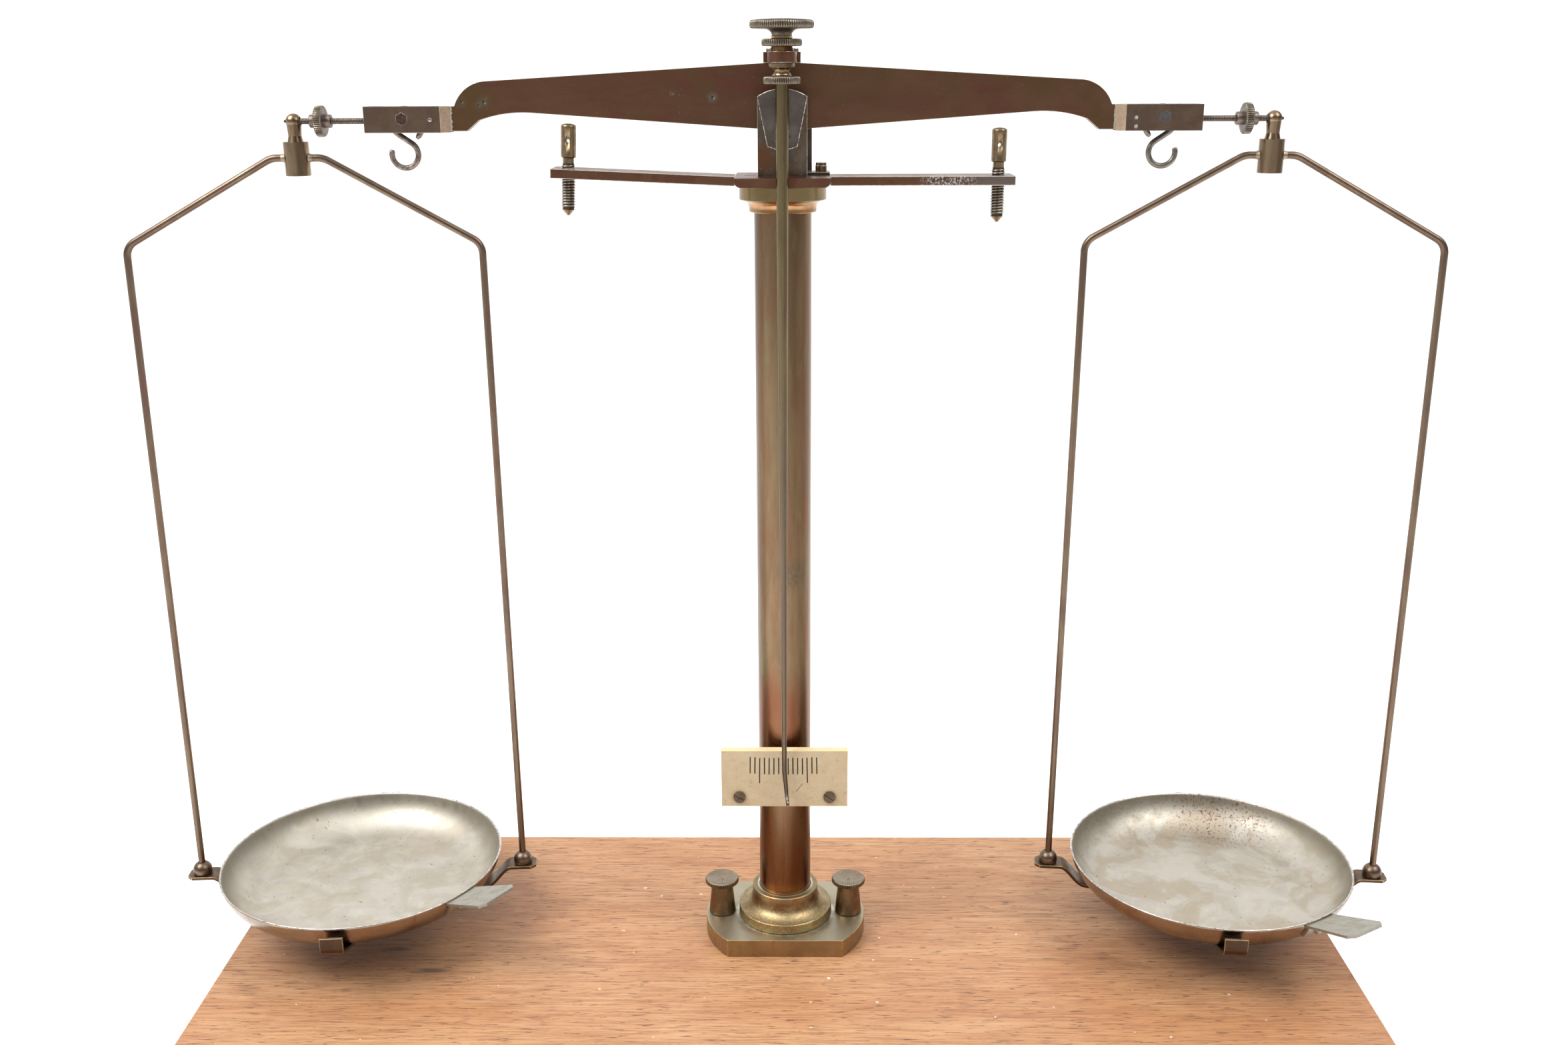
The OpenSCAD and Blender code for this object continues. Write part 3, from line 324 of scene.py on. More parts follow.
def foot_marks(g):
    """Pale polish where the tube stands in the moulding, a rusty stain round the neck, and painted glints of light on
    the hollow.
    """
    ring = g.step(g.minus(g.radius(), g.noise(0.8, detail=3)), tube_r + 0.3, tube_r + 1.2, (0.9, 0))
    g.tint(ring, (0.68, 0.66, 0.57))
    from_neck = g.apart(g.z, column_z0 - 5)
    stain = g.step(g.noise(0.12, detail=4, rough=0.6, shift=(7, 0, 3)), 0.38, 0.6, (0.2, 0.85))
    g.tint(g.times(g.step(from_neck, 4.0, 1.0), stain), (0.2, 0.085, 0.03))
    # Painted highlight: bright glints speckled over the hollow
    painted_glint = g.times(g.step(g.noise(0.8, detail=5, rough=0.75), 0.5, 0.62),
                   g.step(g.z, column_z0 - 4, column_z0 - 8))
    g.tint(g.times(painted_glint, 0.55), (0.62, 0.46, 0.2))


def cross_front_shade(g):
    """Painted shade: the lips' upright faces that face the front are made a darker brown."""
    g.tint(g.step(g.facing(1), -0.6, -0.9, (0, 0.8)), (0.06, 0.032, 0.02))


def cap_marks(g):
    """The cap's ring is olive, and its hollow gets a painted warm glow of light, a mottled orange."""
    g.tint(g.step(g.z, column_z1 + 5, column_z1 + 6, (0, 0.7)), (0.2, 0.155, 0.075))
    # Painted highlight: a mottled orange glow in the hollow
    rosy = g.step(g.noise(0.09, detail=4, rough=0.6, shift=(4, 4, 9)), 0.4, 0.6, (0.2, 0.8))
    hollow = g.step(g.apart(g.z, column_z1 + 3.4), 2.4, 1.0)
    g.tint(g.times(rosy, hollow), (0.48, 0.25, 0.12))


def pointer_marks(g):
    """The pointer turns dark grey-brown towards its tip, which is worn bright."""
    low = mm_box("pointer")[0].z
    g.tint(g.step(g.z, knife_z - 90, knife_z - 190, (0, 0.75)), (0.125, 0.09, 0.068))
    dark = g.step(g.plus(g.z, g.times(g.noise(0.4), 8)), index_high.z + 6, index_high.z - 4)
    g.tint(dark, (0.1, 0.075, 0.06))
    bare = g.times(g.step(g.z, low + 8, low + 2), g.step(g.noise(1.1, detail=4), 0.42, 0.55))
    g.tint(bare, (0.5, 0.5, 0.52))


def fork_marks(g):
    """Light specks on the fork's front and a reddish patch low on its left."""
    specks = g.step(g.noise(1.1, detail=2, rough=0.4, shift=(2, 2, 2)), 0.7, 0.74, (0, 0.8))
    g.tint(g.times(specks, g.step(g.z, knife_z - 14, knife_z - 18)), (0.5, 0.47, 0.38))
    patch = g.near((-10, -12, knife_z - 20), 2, 8)
    g.tint(g.times(patch, 0.7), (0.17, 0.055, 0.02))


def bone_material():
    g = Graph(bpy.data.materials.new("bone_aged"))
    cloud = g.noise(0.12, (1, 1, 1.6), 4, 0.6)
    g.colour = g.mix(g.step(cloud, 0.3, 0.7), (0.51, 0.4, 0.25), (0.465, 0.355, 0.215))
    streaks = g.noise(0.5, (0.12, 1, 1), 4, 0.6, 0.2)
    g.tint(g.step(streaks, 0.45, 0.75, (0, 0.35)), (0.5, 0.38, 0.22))
    stain = g.noise(0.32, detail=5, rough=0.7, shift=(9, 3, 14))
    g.tint(g.step(stain, 0.54, 0.72, (0, 0.6)), (0.34, 0.22, 0.105))
    specks = g.noise(1.6, detail=4, rough=0.7)
    low_down = g.step(g.z, index_high.z - 8, index_low.z, (0.45, 1.0))
    g.tint(g.times(g.step(specks, 0.6, 0.68, (0, 0.8)), low_down), (0.15, 0.08, 0.04))
    low, high = mm_box("index_screws")
    for x in (low.x + 3, high.x - 3):
        halo = g.near((x, index_low.y, (low.z + high.z) / 2), 3.0, 1.8)
        g.tint(g.times(halo, 0.5), (0.36, 0.24, 0.1))
    top = g.step(g.z, index_high.z - 0.25, index_high.z - 0.05, (0, 0.6))
    g.tint(top, (0.8, 0.68, 0.36))
    edge = g.step(g.apart(g.x), index_high.x - 1.2, index_high.x, (0, 0.25))
    g.tint(edge, (0.55, 0.42, 0.24))
    height = g.plus(g.times(streaks, 0.5), g.times(specks, 0.3))
    return g.finish(g.step(cloud, 0.3, 0.7, (0.38, 0.5)), height, 0.06, 0.0,
                    Subsurface_Weight=0.12, Subsurface_Scale=0.002, IOR=1.52)


def wood_material():
    """Open-grained reddish brown timber, its grain along X, with dark blotches and short dark pores."""
    g = Graph(bpy.data.materials.new("timber_oiled"))
    top_z = mm_box("wood_base")[1].z
    tone = g.noise(0.016, (0.35, 1, 1), 4, 0.55, 1.2)
    g.colour = g.mix(g.step(tone, 0.34, 0.66), (0.52, 0.29, 0.145), (0.46, 0.225, 0.1))
    grain = g.noise(0.42, (0.06, 1, 1), 7, 0.72, 0.5)
    g.tint(g.step(grain, 0.44, 0.64, (0, 0.5)), (0.34, 0.15, 0.068))
    lines = g.noise(1.3, (0.03, 1, 1), 4, 0.7, 0.6, (3, 1, 8))
    g.tint(g.step(lines, 0.47, 0.6, (0, 0.65)), (0.27, 0.115, 0.05))
    dark = g.noise(0.03, (0.35, 1, 1), 5, 0.65, 1.4, (40, 9, 0))
    g.tint(g.step(dark, 0.54, 0.7, (0, 0.5)), (0.3, 0.13, 0.062))
    knots = g.noise(0.06, (0.4, 1, 1), 3, 0.55, 1.6, (12, 31, 4))
    g.tint(g.step(knots, 0.62, 0.74, (0, 0.5)), (0.24, 0.095, 0.045))
    pale = g.noise(0.03, (0.3, 1, 1), 3, 0.5, 1.0, (7, 22, 0))
    g.tint(g.step(pale, 0.55, 0.75, (0, 0.45)), (0.58, 0.35, 0.185))
    pores = g.noise(0.95, (0.1, 1, 1), 3, 0.65, 0.3, (13, 0, 0))
    g.tint(g.step(pores, 0.59, 0.65, (0, 0.85)), (0.12, 0.05, 0.028))
    for x, y, length, width in ((-201, -23, 11, 3), (-178, -42, 12, 3), (-150, -66, 9, 2)):
        flat = g.add("VectorMath", {0: g.place, 1: (x, y, top_z)}, operation="SUBTRACT").outputs[0]
        flat = g.add("VectorMath", {0: flat, 1: (1 / length, 1 / width, 1)}, operation="MULTIPLY").outputs[0]
        away = g.add("VectorMath", {0: flat}, operation="LENGTH").outputs["Value"]
        bruise = g.times(g.step(away, 1.0, 0.2), g.step(grain, 0.3, 0.5))
        g.tint(g.times(bruise, 0.7), (0.075, 0.06, 0.06))
    chips = g.step(g.noise(0.3, detail=1, rough=0.3, shift=(8, 8, 1)), 0.8, 0.81, (0, 0.7))
    g.tint(chips, (0.75, 0.66, 0.52))
    height = g.minus(g.times(grain, 0.35), g.step(pores, 0.58, 0.7))
    return g.finish(g.step(grain, 0.3, 0.7, (0.42, 0.58)), height, 0.07, 0.0, IOR=1.48)


def nickel_material(name, rust, tan):
    """Dull nickel with cloudy stains, painted shade on the steep walls, wiping scratches and rust specks towards the
    back wall.
    """
    g = Graph(bpy.data.materials.new(name))
    cloud = g.noise(0.045, detail=5, rough=0.62, warp=0.9)
    g.colour = g.mix(g.step(cloud, 0.38, 0.62), (0.56, 0.525, 0.455), (0.49, 0.45, 0.38))
    film = g.noise(0.11, detail=6, rough=0.7, warp=0.6, shift=(2, 14, 0))
    g.tint(g.step(film, 0.5, 0.68, (0, 0.4)), (0.62, 0.59, 0.53))
    stain = g.noise(0.03, detail=4, rough=0.6, warp=1.2, shift=(4, 4, 0))
    g.tint(g.step(stain, 0.48, 0.58, (0.0, tan)), (0.43, 0.35, 0.24))
    # Painted shade: the steep walls are darker than the floor
    steep_wall_shade = g.step(g.apart(g.facing(2)), 0.35, 0.9, (0.75, 0))
    g.tint(steep_wall_shade, (0.27, 0.24, 0.185))
    specks = g.noise(0.75, detail=6, rough=0.75, shift=(1, 8, 2))
    back = g.step(g.y, 12, 66)
    cluster = g.plus(g.near((hang_x + 26, 62, pan_top - 6), 8, 30), 0.35)
    rusty = g.times(g.step(specks, 0.53, 0.62), g.times(back, rust))
    rusty = g.times(rusty, cluster, clamp=True)
    g.tint(rusty, (0.19, 0.065, 0.035))
    dots = g.step(g.noise(0.5, detail=2, rough=0.4, shift=(6, 1, 5)), 0.72, 0.75, (0, 0.6))
    g.tint(dots, (0.12, 0.1, 0.075))
    wiped = g.noise(1.5, (0.1, 1, 1), 4, 0.7)
    height = g.minus(g.times(wiped, 0.35), rusty)
    return g.finish(g.step(film, 0.35, 0.65, (0.46, 0.6)), height, 0.015)


def cover_material():
    """Glossy blued steel, browner towards its foot."""
    g = Graph(bpy.data.materials.new("blued_gloss"))
    cloud = g.noise(0.12, detail=4, rough=0.6)
    g.colour = g.mix(g.step(cloud, 0.35, 0.65), (0.19, 0.16, 0.14), (0.14, 0.115, 0.1))
    g.tint(g.step(g.z, knife_z - 8, knife_z - 18, (0, 0.5)), (0.11, 0.075, 0.055))
    fine = g.noise(2.0, (1, 1, 0.15), 3, 0.6)
    return g.finish(g.step(cloud, 0.3, 0.7, (0.2, 0.3)), fine, 0.006)


def paint(name, colour):
    """Matt dark filling of a cut line."""
    g = Graph(bpy.data.materials.new(name))
    g.colour = g.mix(g.noise(1.5, detail=3), colour, tuple(c * 0.5 for c in colour))
    return g.finish(g.step(g.noise(1.0), 0, 1, (0.75, 0.85)), g.noise(4.0), 0.02, 0.0)


BROWN = dict(clean=(0.172, 0.09, 0.053), aged=(0.134, 0.065, 0.04), tint=(0.15, 0.056, 0.04),
             dirt=(0.08, 0.06, 0.036), tinted=(0.52, 0.72))
UPRIGHT = (1, 1, 0.12)
LENGTHWISE = (0.4, 1, 1)
LOOKS = {
    "beam": metal("beam_patina", **BROWN, rough=(0.34, 0.46), blotch=0.035, streak=LENGTHWISE, extra=beam_marks),
    "dark": metal("dark_patina", **BROWN, rough=(0.32, 0.46), blotch=0.08),
    "arm": metal("arm_patina", **BROWN, rough=(0.32, 0.46), blotch=0.08, extra=arm_marks),
    "block": metal(
        "block_patina", (0.18, 0.125, 0.09), (0.137, 0.09, 0.065), (0.15, 0.078, 0.056), (0.085, 0.07, 0.05),
        rough=(0.32, 0.44), blotch=0.12, tinted=(0.54, 0.74)),
    "fork": metal(
        "fork_patina", (0.17, 0.135, 0.1), (0.11, 0.09, 0.07), (0.15, 0.078, 0.045), (0.06, 0.048, 0.036),
        rough=(0.3, 0.42), blotch=0.08, extra=fork_marks),
    "worn": metal(
        "worn_edge", (0.95, 0.92, 0.84), (0.7, 0.63, 0.51), (0.36, 0.27, 0.18), (0.16, 0.11, 0.07),
        rough=(0.28, 0.42), blotch=0.3, tinted=(0.56, 0.74)),
    "chipped": metal(
        "chipped_edge", (0.95, 0.94, 0.9), (0.55, 0.52, 0.46), (0.2, 0.17, 0.15), (0.09, 0.08, 0.07),
        rough=(0.28, 0.4), blotch=0.6, tinted=(0.48, 0.58)),
    "tan": metal(
        "tan_bevel", (0.52, 0.39, 0.28), (0.44, 0.32, 0.23), (0.38, 0.26, 0.17), (0.2, 0.13, 0.08), rough=(0.4, 0.52),
        blotch=0.4),
    "column": metal(
        "column_tarnish", (0.225, 0.155, 0.088), (0.165, 0.1, 0.056), (0.2, 0.1, 0.055), (0.09, 0.065, 0.04),
        rough=(0.22, 0.32), blotch=0.07, streak=UPRIGHT, extra=column_marks, shaded=0.6, depth=0.005),
    "plate": metal(
        "plate_brass", (0.39, 0.295, 0.175), (0.31, 0.23, 0.13), (0.28, 0.17, 0.085), (0.13, 0.105, 0.07),
        rough=(0.38, 0.52), blotch=0.08, tinted=(0.58, 0.8), extra=plate_marks),
    "moulding": metal(
        "moulding_brass", (0.34, 0.265, 0.145), (0.27, 0.2, 0.105), (0.32, 0.15, 0.06), (0.13, 0.09, 0.05),
        rough=(0.42, 0.56), blotch=0.1, tinted=(0.52, 0.75), extra=foot_marks, depth=0.006),
    "cap": metal(
        "cap_brass", (0.3, 0.205, 0.1), (0.21, 0.135, 0.066), (0.34, 0.15, 0.06), (0.12, 0.08, 0.045),
        rough=(0.16, 0.26), blotch=0.1, tinted=(0.46, 0.68), extra=cap_marks, depth=0.006),
    "screw": metal(
        "screw_brass", (0.3, 0.225, 0.13), (0.21, 0.15, 0.09), (0.18, 0.11, 0.06), (0.08, 0.055, 0.035),
        rough=(0.28, 0.42), blotch=0.25),
    "thumb": metal(
        "thumb_brass", (0.22, 0.16, 0.095), (0.165, 0.11, 0.065), (0.2, 0.1, 0.055), (0.07, 0.05, 0.03),
        rough=(0.3, 0.45), blotch=0.16),
    "thumb_top": metal(
        "thumb_top_brass", (0.3, 0.25, 0.18), (0.26, 0.21, 0.15), (0.25, 0.18, 0.12), (0.19, 0.15, 0.11),
        rough=(0.3, 0.38), blotch=0.2),
    "knurl": metal(
        "knurl_grey", (0.26, 0.225, 0.175), (0.19, 0.16, 0.12), (0.16, 0.12, 0.09), (0.08, 0.065, 0.05),
        rough=(0.36, 0.5), blotch=0.3),
    "groove": metal(
        "groove_grime", (0.075, 0.058, 0.042), (0.05, 0.038, 0.028), (0.07, 0.04, 0.025), (0.03, 0.024, 0.018),
        rough=(0.55, 0.7), blotch=0.5),
    "band": metal(
        "band_brass", (0.5, 0.37, 0.18), (0.4, 0.28, 0.13), (0.3, 0.18, 0.09), (0.14, 0.1, 0.06), rough=(0.24, 0.36),
        blotch=0.2),
    "thread": metal(
        "thread_grey", (0.4, 0.37, 0.31), (0.3, 0.27, 0.22), (0.24, 0.19, 0.14), (0.1, 0.085, 0.06),
        rough=(0.34, 0.5), blotch=0.4),
    "rod": metal(
        "rod_steel", (0.22, 0.185, 0.16), (0.165, 0.135, 0.115), (0.17, 0.1, 0.07), (0.08, 0.06, 0.05),
        rough=(0.36, 0.5), blotch=0.3),
    "wire": metal(
        "wire_brass_dull", (0.19, 0.138, 0.094), (0.14, 0.097, 0.07), (0.17, 0.095, 0.074), (0.085, 0.06, 0.045),
        rough=(0.3, 0.42), blotch=0.1, streak=(1, 1, 0.25)),
    "barrel": metal(
        "barrel_brass", (0.33, 0.245, 0.155), (0.24, 0.17, 0.105), (0.2, 0.12, 0.075), (0.1, 0.07, 0.045),
        rough=(0.24, 0.34), blotch=0.12, streak=(1, 1, 0.3), shaded=0.8, depth=0.006),
    "pointer": metal(
        "pointer_brass", (0.22, 0.172, 0.09), (0.16, 0.12, 0.066), (0.16, 0.1, 0.065), (0.085, 0.065, 0.045),
        rough=(0.22, 0.34), blotch=0.12, streak=UPRIGHT, extra=pointer_marks, shaded=0.5, depth=0.005),
    "hook_left": metal(
        "hook_mottled", (0.3, 0.26, 0.23), (0.13, 0.1, 0.085), (0.24, 0.13, 0.08), (0.06, 0.04, 0.03),
        rough=(0.36, 0.55), blotch=0.5, pits=0.7),
    "hook_right": metal(
        "hook_grey", (0.23, 0.21, 0.185), (0.16, 0.14, 0.12), (0.2, 0.155, 0.1), (0.08, 0.06, 0.045),
        rough=(0.3, 0.45), blotch=0.3, pits=0.2),
    "rust": metal(
        "rusted_steel", (0.09, 0.055, 0.045), (0.05, 0.032, 0.028), (0.15, 0.06, 0.035), (0.03, 0.02, 0.017),
        rough=(0.6, 0.8), blotch=0.9, pits=0.9),
    "steel": metal(
        "knife_steel", (0.17, 0.16, 0.17), (0.12, 0.11, 0.115), (0.15, 0.12, 0.1), (0.05, 0.045, 0.04),
        rough=(0.3, 0.45), blotch=0.4),
    "dull": metal(
        "screw_dull", (0.2, 0.165, 0.13), (0.14, 0.11, 0.085), (0.17, 0.11, 0.07), (0.05, 0.04, 0.03),
        rough=(0.34, 0.5), blotch=0.5),
    "screw_brown": metal(
        "screw_brown_dull", (0.15, 0.115, 0.08), (0.11, 0.08, 0.055), (0.12, 0.07, 0.045), (0.06, 0.045, 0.03),
        rough=(0.45, 0.6), blotch=0.3),
    "solder": metal(
        "solder_grey", (0.34, 0.29, 0.2), (0.25, 0.2, 0.14), (0.22, 0.16, 0.11), (0.1, 0.08, 0.06), rough=(0.4, 0.55),
        blotch=0.8),
    "cross": metal(
        "cross_brass", (0.175, 0.125, 0.085), (0.13, 0.09, 0.062), (0.15, 0.08, 0.045), (0.07, 0.052, 0.04),
        rough=(0.34, 0.48), blotch=0.15, extra=cross_front_shade),
    "tab": metal(
        "tab_nickel", (0.42, 0.4, 0.34), (0.36, 0.34, 0.285), (0.32, 0.27, 0.2), (0.15, 0.13, 0.1),
        rough=(0.44, 0.56), blotch=0.15),
    "rim": metal(
        "rim_nickel", (0.72, 0.7, 0.66), (0.45, 0.42, 0.37), (0.2, 0.16, 0.12), (0.12, 0.09, 0.07), rough=(0.28, 0.4),
        blotch=0.35, tinted=(0.55, 0.68)),
    "pan_outer": metal(
        "nickel_outer", (0.34, 0.275, 0.22), (0.27, 0.21, 0.16), (0.27, 0.165, 0.115), (0.14, 0.1, 0.06),
        rough=(0.2, 0.3), blotch=0.06, tinted=(0.5, 0.7)),
    "cover": cover_material(),
    "bone": bone_material(),
    "timber": wood_material(),
    "pan_left": nickel_material("nickel_clean", 0.25, 0.25),
    "pan_right": nickel_material("nickel_stained", 1.0, 0.5),
    "line": paint("cut_line", (0.02, 0.011, 0.006)),
}

# ---- mesh helpers ----


def mesh_data(name, mesh):
    """The bmesh as a mesh that an object can hold."""
    data = bpy.data.meshes.new(name)
    mesh.to_mesh(data)
    mesh.free()
    return data


def drop_stored_normals(piece):
    """Forgets the normals that came with a CAD mesh or a modifier."""
    stored = piece.data.attributes.get("custom_normal")
    if stored is not None:
        piece.data.attributes.remove(stored)


def add_looks(piece, *looks):
    for look in looks:
        piece.data.materials.append(LOOKS[look])


def new_piece(name, mesh, looks, smooth_below=40):
    """A linked object from a bmesh, shaded smooth except where faces meet at more than smooth_below degrees."""
    piece = link(name, mesh_data(name, mesh))
    drop_stored_normals(piece)
    add_looks(piece, *looks)
    piece.data.shade_smooth()
    piece.data.set_sharp_from_angle(angle=math.radians(smooth_below))
    return piece


def stands_for(piece, *stood_for):
    """piece rides with its first CAD node's body, and hides the CAD nodes."""
    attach(piece, nodes[stood_for[0]]["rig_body"])
    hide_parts(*stood_for)
    return piece


def apply_modifiers(piece):
    """Makes the modifiers' result the piece's own mesh."""
    solid = piece.evaluated_get(bpy.context.evaluated_depsgraph_get())
    piece.data = bpy.data.meshes.new_from_object(solid)
    piece.modifiers.clear()


def cad_copy(node):
    """A bmesh of a CAD node's mesh with its split corners joined and its flat faces made whole."""
    mesh = bmesh.new()
    mesh.from_mesh(nodes[node].data)
    bmesh.ops.remove_doubles(mesh, verts=mesh.verts, dist=0.002 * MM)
    bmesh.ops.dissolve_limit(mesh, angle_limit=math.radians(0.5), verts=mesh.verts, edges=mesh.edges)
    for face in mesh.faces:
        face.material_index = 0
    return mesh


def round_edges(piece, width, edge_slot=-1, segments=2):
    """Rounds the piece's sharp edges. Their faces get material slot edge_slot."""
    bevel = piece.modifiers.new("bevel", "BEVEL")
    bevel.width = width * MM
    bevel.segments = segments
    bevel.limit_method = "ANGLE"
    bevel.angle_limit = math.radians(35)
    bevel.use_clamp_overlap = True
    bevel.material = edge_slot
    weigh = piece.modifiers.new("normals", "WEIGHTED_NORMAL")
    weigh.keep_sharp = False
    weigh.weight = 60
    apply_modifiers(piece)


def rounded_copy(node, width, look, edge=None, third=None, repaint=None, segments=2):
    """A copy of a CAD node with rounded, perhaps worn, edges, which stands for it."""
    mesh = cad_copy(node)
    if repaint:
        repaint(mesh)
    piece = new_piece(node + "_worn", mesh, [look] + [other for other in (edge, third) if other])
    round_edges(piece, width, 1 if edge else -1, segments=segments)
    return stands_for(piece, node)


RIDGE = 4  # steps round the rim to each ridge of a knurl and its groove


def knurled(r, depth):
    """A ring of straight ridges, each with a flat top and a flat groove."""
    return lambda k, steps: r - depth * (k % RIDGE > 1)


def thread_rows(r, z0, z1, pitch, depth, per_turn):
    """Rings of a vee thread from z0 up to z1."""
    count = round((z1 - z0) / pitch * per_turn)
    rows = []
    for i in range(count + 1):
        z = z0 + (z1 - z0) * i / count
        fade = min(1.0, min(i, count - i) / per_turn)
        rows.append((lambda k, steps, z=z, fade=fade:
                     r - depth * (1 - fade * (1 - abs(2 * ((z / pitch - k / steps) % 1) - 1))), z))
    return rows


def turned(name, rows, looks, steps, place=None, smooth_below=40):
    """A mesh turned about Z from rows of (radius, z) in millimetres, closed where they miss the axis.

    Between two ridged rows the ridges take looks[1] and the grooves between them looks[2].
    """
    mesh = bmesh.new()
    rings = []
    for radius, z in rows:
        if radius == 0:
            rings.append([mesh.verts.new((0, 0, z * MM))])
            continue
        ring = []
        for k in range(steps):
            r = radius(k, steps) if callable(radius) else radius
            turn = 2 * math.pi * k / steps
            ring.append(mesh.verts.new((r * math.cos(turn) * MM, r * math.sin(turn) * MM, z * MM)))
        rings.append(ring)
    order = list(range(len(rings))) + ([0] if rows[0][0] != 0 else [])
    for i, j in zip(order, order[1:]):
        ridged = callable(rows[i][0]) and callable(rows[j][0])
        for k in range(steps):
            corners = [rings[i][k % len(rings[i])], rings[i][(k + 1) % len(rings[i])],
                       rings[j][(k + 1) % len(rings[j])], rings[j][k % len(rings[j])]]
            whole = list(dict.fromkeys(corners))
            face = mesh.faces.new(whole)
            if ridged and len(looks) > 2:
                face.material_index = 2 if k % RIDGE == 2 else 1
    bmesh.ops.recalc_face_normals(mesh, faces=mesh.faces)
    if place:
        bmesh.ops.transform(mesh, matrix=place, verts=mesh.verts)
    return new_piece(name, mesh, looks, smooth_below)


def arc(cx, cz, r, start, end, steps=6):
    """Profile points on an arc, with angles in degrees from the radius axis."""
    angles = [math.radians(start + (end - start) * i / steps) for i in range(steps + 1)]
    return [(cx + r * math.cos(a), cz + r * math.sin(a)) for a in angles]


def tube(name, path, radii, looks, sides=24):
    """A round bar along a path of points in metres, with a radius in millimetres at each."""
    mesh = bmesh.new()
    rings = []
    normal = Vector((0, 1, 0))
    for i, (point, r) in enumerate(zip(path, radii)):
        along = (path[min(i + 1, len(path) - 1)] - path[max(i - 1, 0)]).normalized()
        normal = (normal - along * normal.dot(along)).normalized()
        other = along.cross(normal)
        rings.append([mesh.verts.new(point + (normal * math.cos(a) + other * math.sin(a)) * r * MM)
                      for a in (2 * math.pi * k / sides for k in range(sides))])
    for a, b in zip(rings, rings[1:]):
        for k in range(sides):
            mesh.faces.new((a[k], a[(k + 1) % sides], b[(k + 1) % sides], b[k]))
    mesh.faces.new(rings[0][::-1])
    mesh.faces.new(rings[-1])
    bmesh.ops.recalc_face_normals(mesh, faces=mesh.faces)
    return new_piece(name, mesh, looks)


def add_block(mesh, size, place):
    """Adds a box of size millimetres at a matrix in metres."""
    bmesh.ops.create_cube(mesh, size=1, matrix=place @ Matrix.Diagonal((*(s * MM for s in size), 1)))


def carve(piece, cutter):
    """Cuts the cutter's shape out of the piece. Cut faces take the cutter's material."""
    boolean = piece.modifiers.new("cut", "BOOLEAN")
    boolean.object = cutter
    boolean.operation = "DIFFERENCE"
    boolean.solver = "EXACT"
    boolean.material_mode = "TRANSFER"
    apply_modifiers(piece)
    bpy.data.objects.remove(cutter)


# ---- boxy parts, with their edges rounded and worn ----


def dark_slots(centres, axis):
    """Repaints what lies within 0.6 mm of a screw's axis, which is its slot. centres lack the axis's own place."""

    def repaint(mesh):
        for face in mesh.faces:
            at = face.calc_center_median()
            flat = Vector([at[i] for i in range(3) if i != axis])
            if min((flat - Vector(centre)).length for centre in centres) < 0.6 * MM:
                face.material_index = 2

    return repaint


def tan_bevels(mesh):
    """The sloping faces at an end block's inner end are bare and lighter."""
    for face in mesh.faces:
        if abs(face.normal.x) > 0.5 and abs(face.normal.y) > 0.5:
            face.material_index = 2


def boxy_parts():
    rounded_copy("wood_base", 0.9, "timber", segments=3)
    rounded_copy("base_plate", 0.45, "plate", "band")
    rounded_copy("top_plate", 0.4, "dark", "worn")
    for name in SIDES:
        rounded_copy("rest_arm_" + name, 0.4, "arm", "worn")
        rounded_copy("end_block_" + name, 0.2, "block", "worn", "tan", tan_bevels)
        rounded_copy("pan_cross_" + name, 0.3, "cross", "band")
        rounded_copy("pan_tab_" + name, 0.25, "tab", "dull")
        rounded_copy("hanger_barrel_" + name, 0.3, "barrel", "band")
        rounded_copy("foot_nuts_" + name, 0.2, "wire")
    rounded_copy("bearing_fork", 0.3, "fork", "worn")
    rounded_copy("fork_bolt", 0.25, "barrel", "worn")
    rounded_copy("beam", 0.22, "beam", "worn")
    rounded_copy("pointer_bracket", 0.4, "dark", "worn")
    for name in ("front", "rear"):
        rounded_copy("cover_" + name, 0.3, "cover", "chipped")
    rounded_copy("index_bracket", 0.3, "dark")
    low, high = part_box("cover_screws")
    rounded_copy("cover_screws", 0.35, "dull", "chipped", "groove",
                 dark_slots([((low.x + high.x) / 2, (low.z + high.z) / 2)], 1))
    low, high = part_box("bracket_screws")
    reach = (high.y - low.y) / 2
    rounded_copy("bracket_screws", 0.2, "dull", "worn", "groove",
                 dark_slots([(x, (low.y + high.y) / 2) for x in (low.x + reach, high.x - reach)], 2))


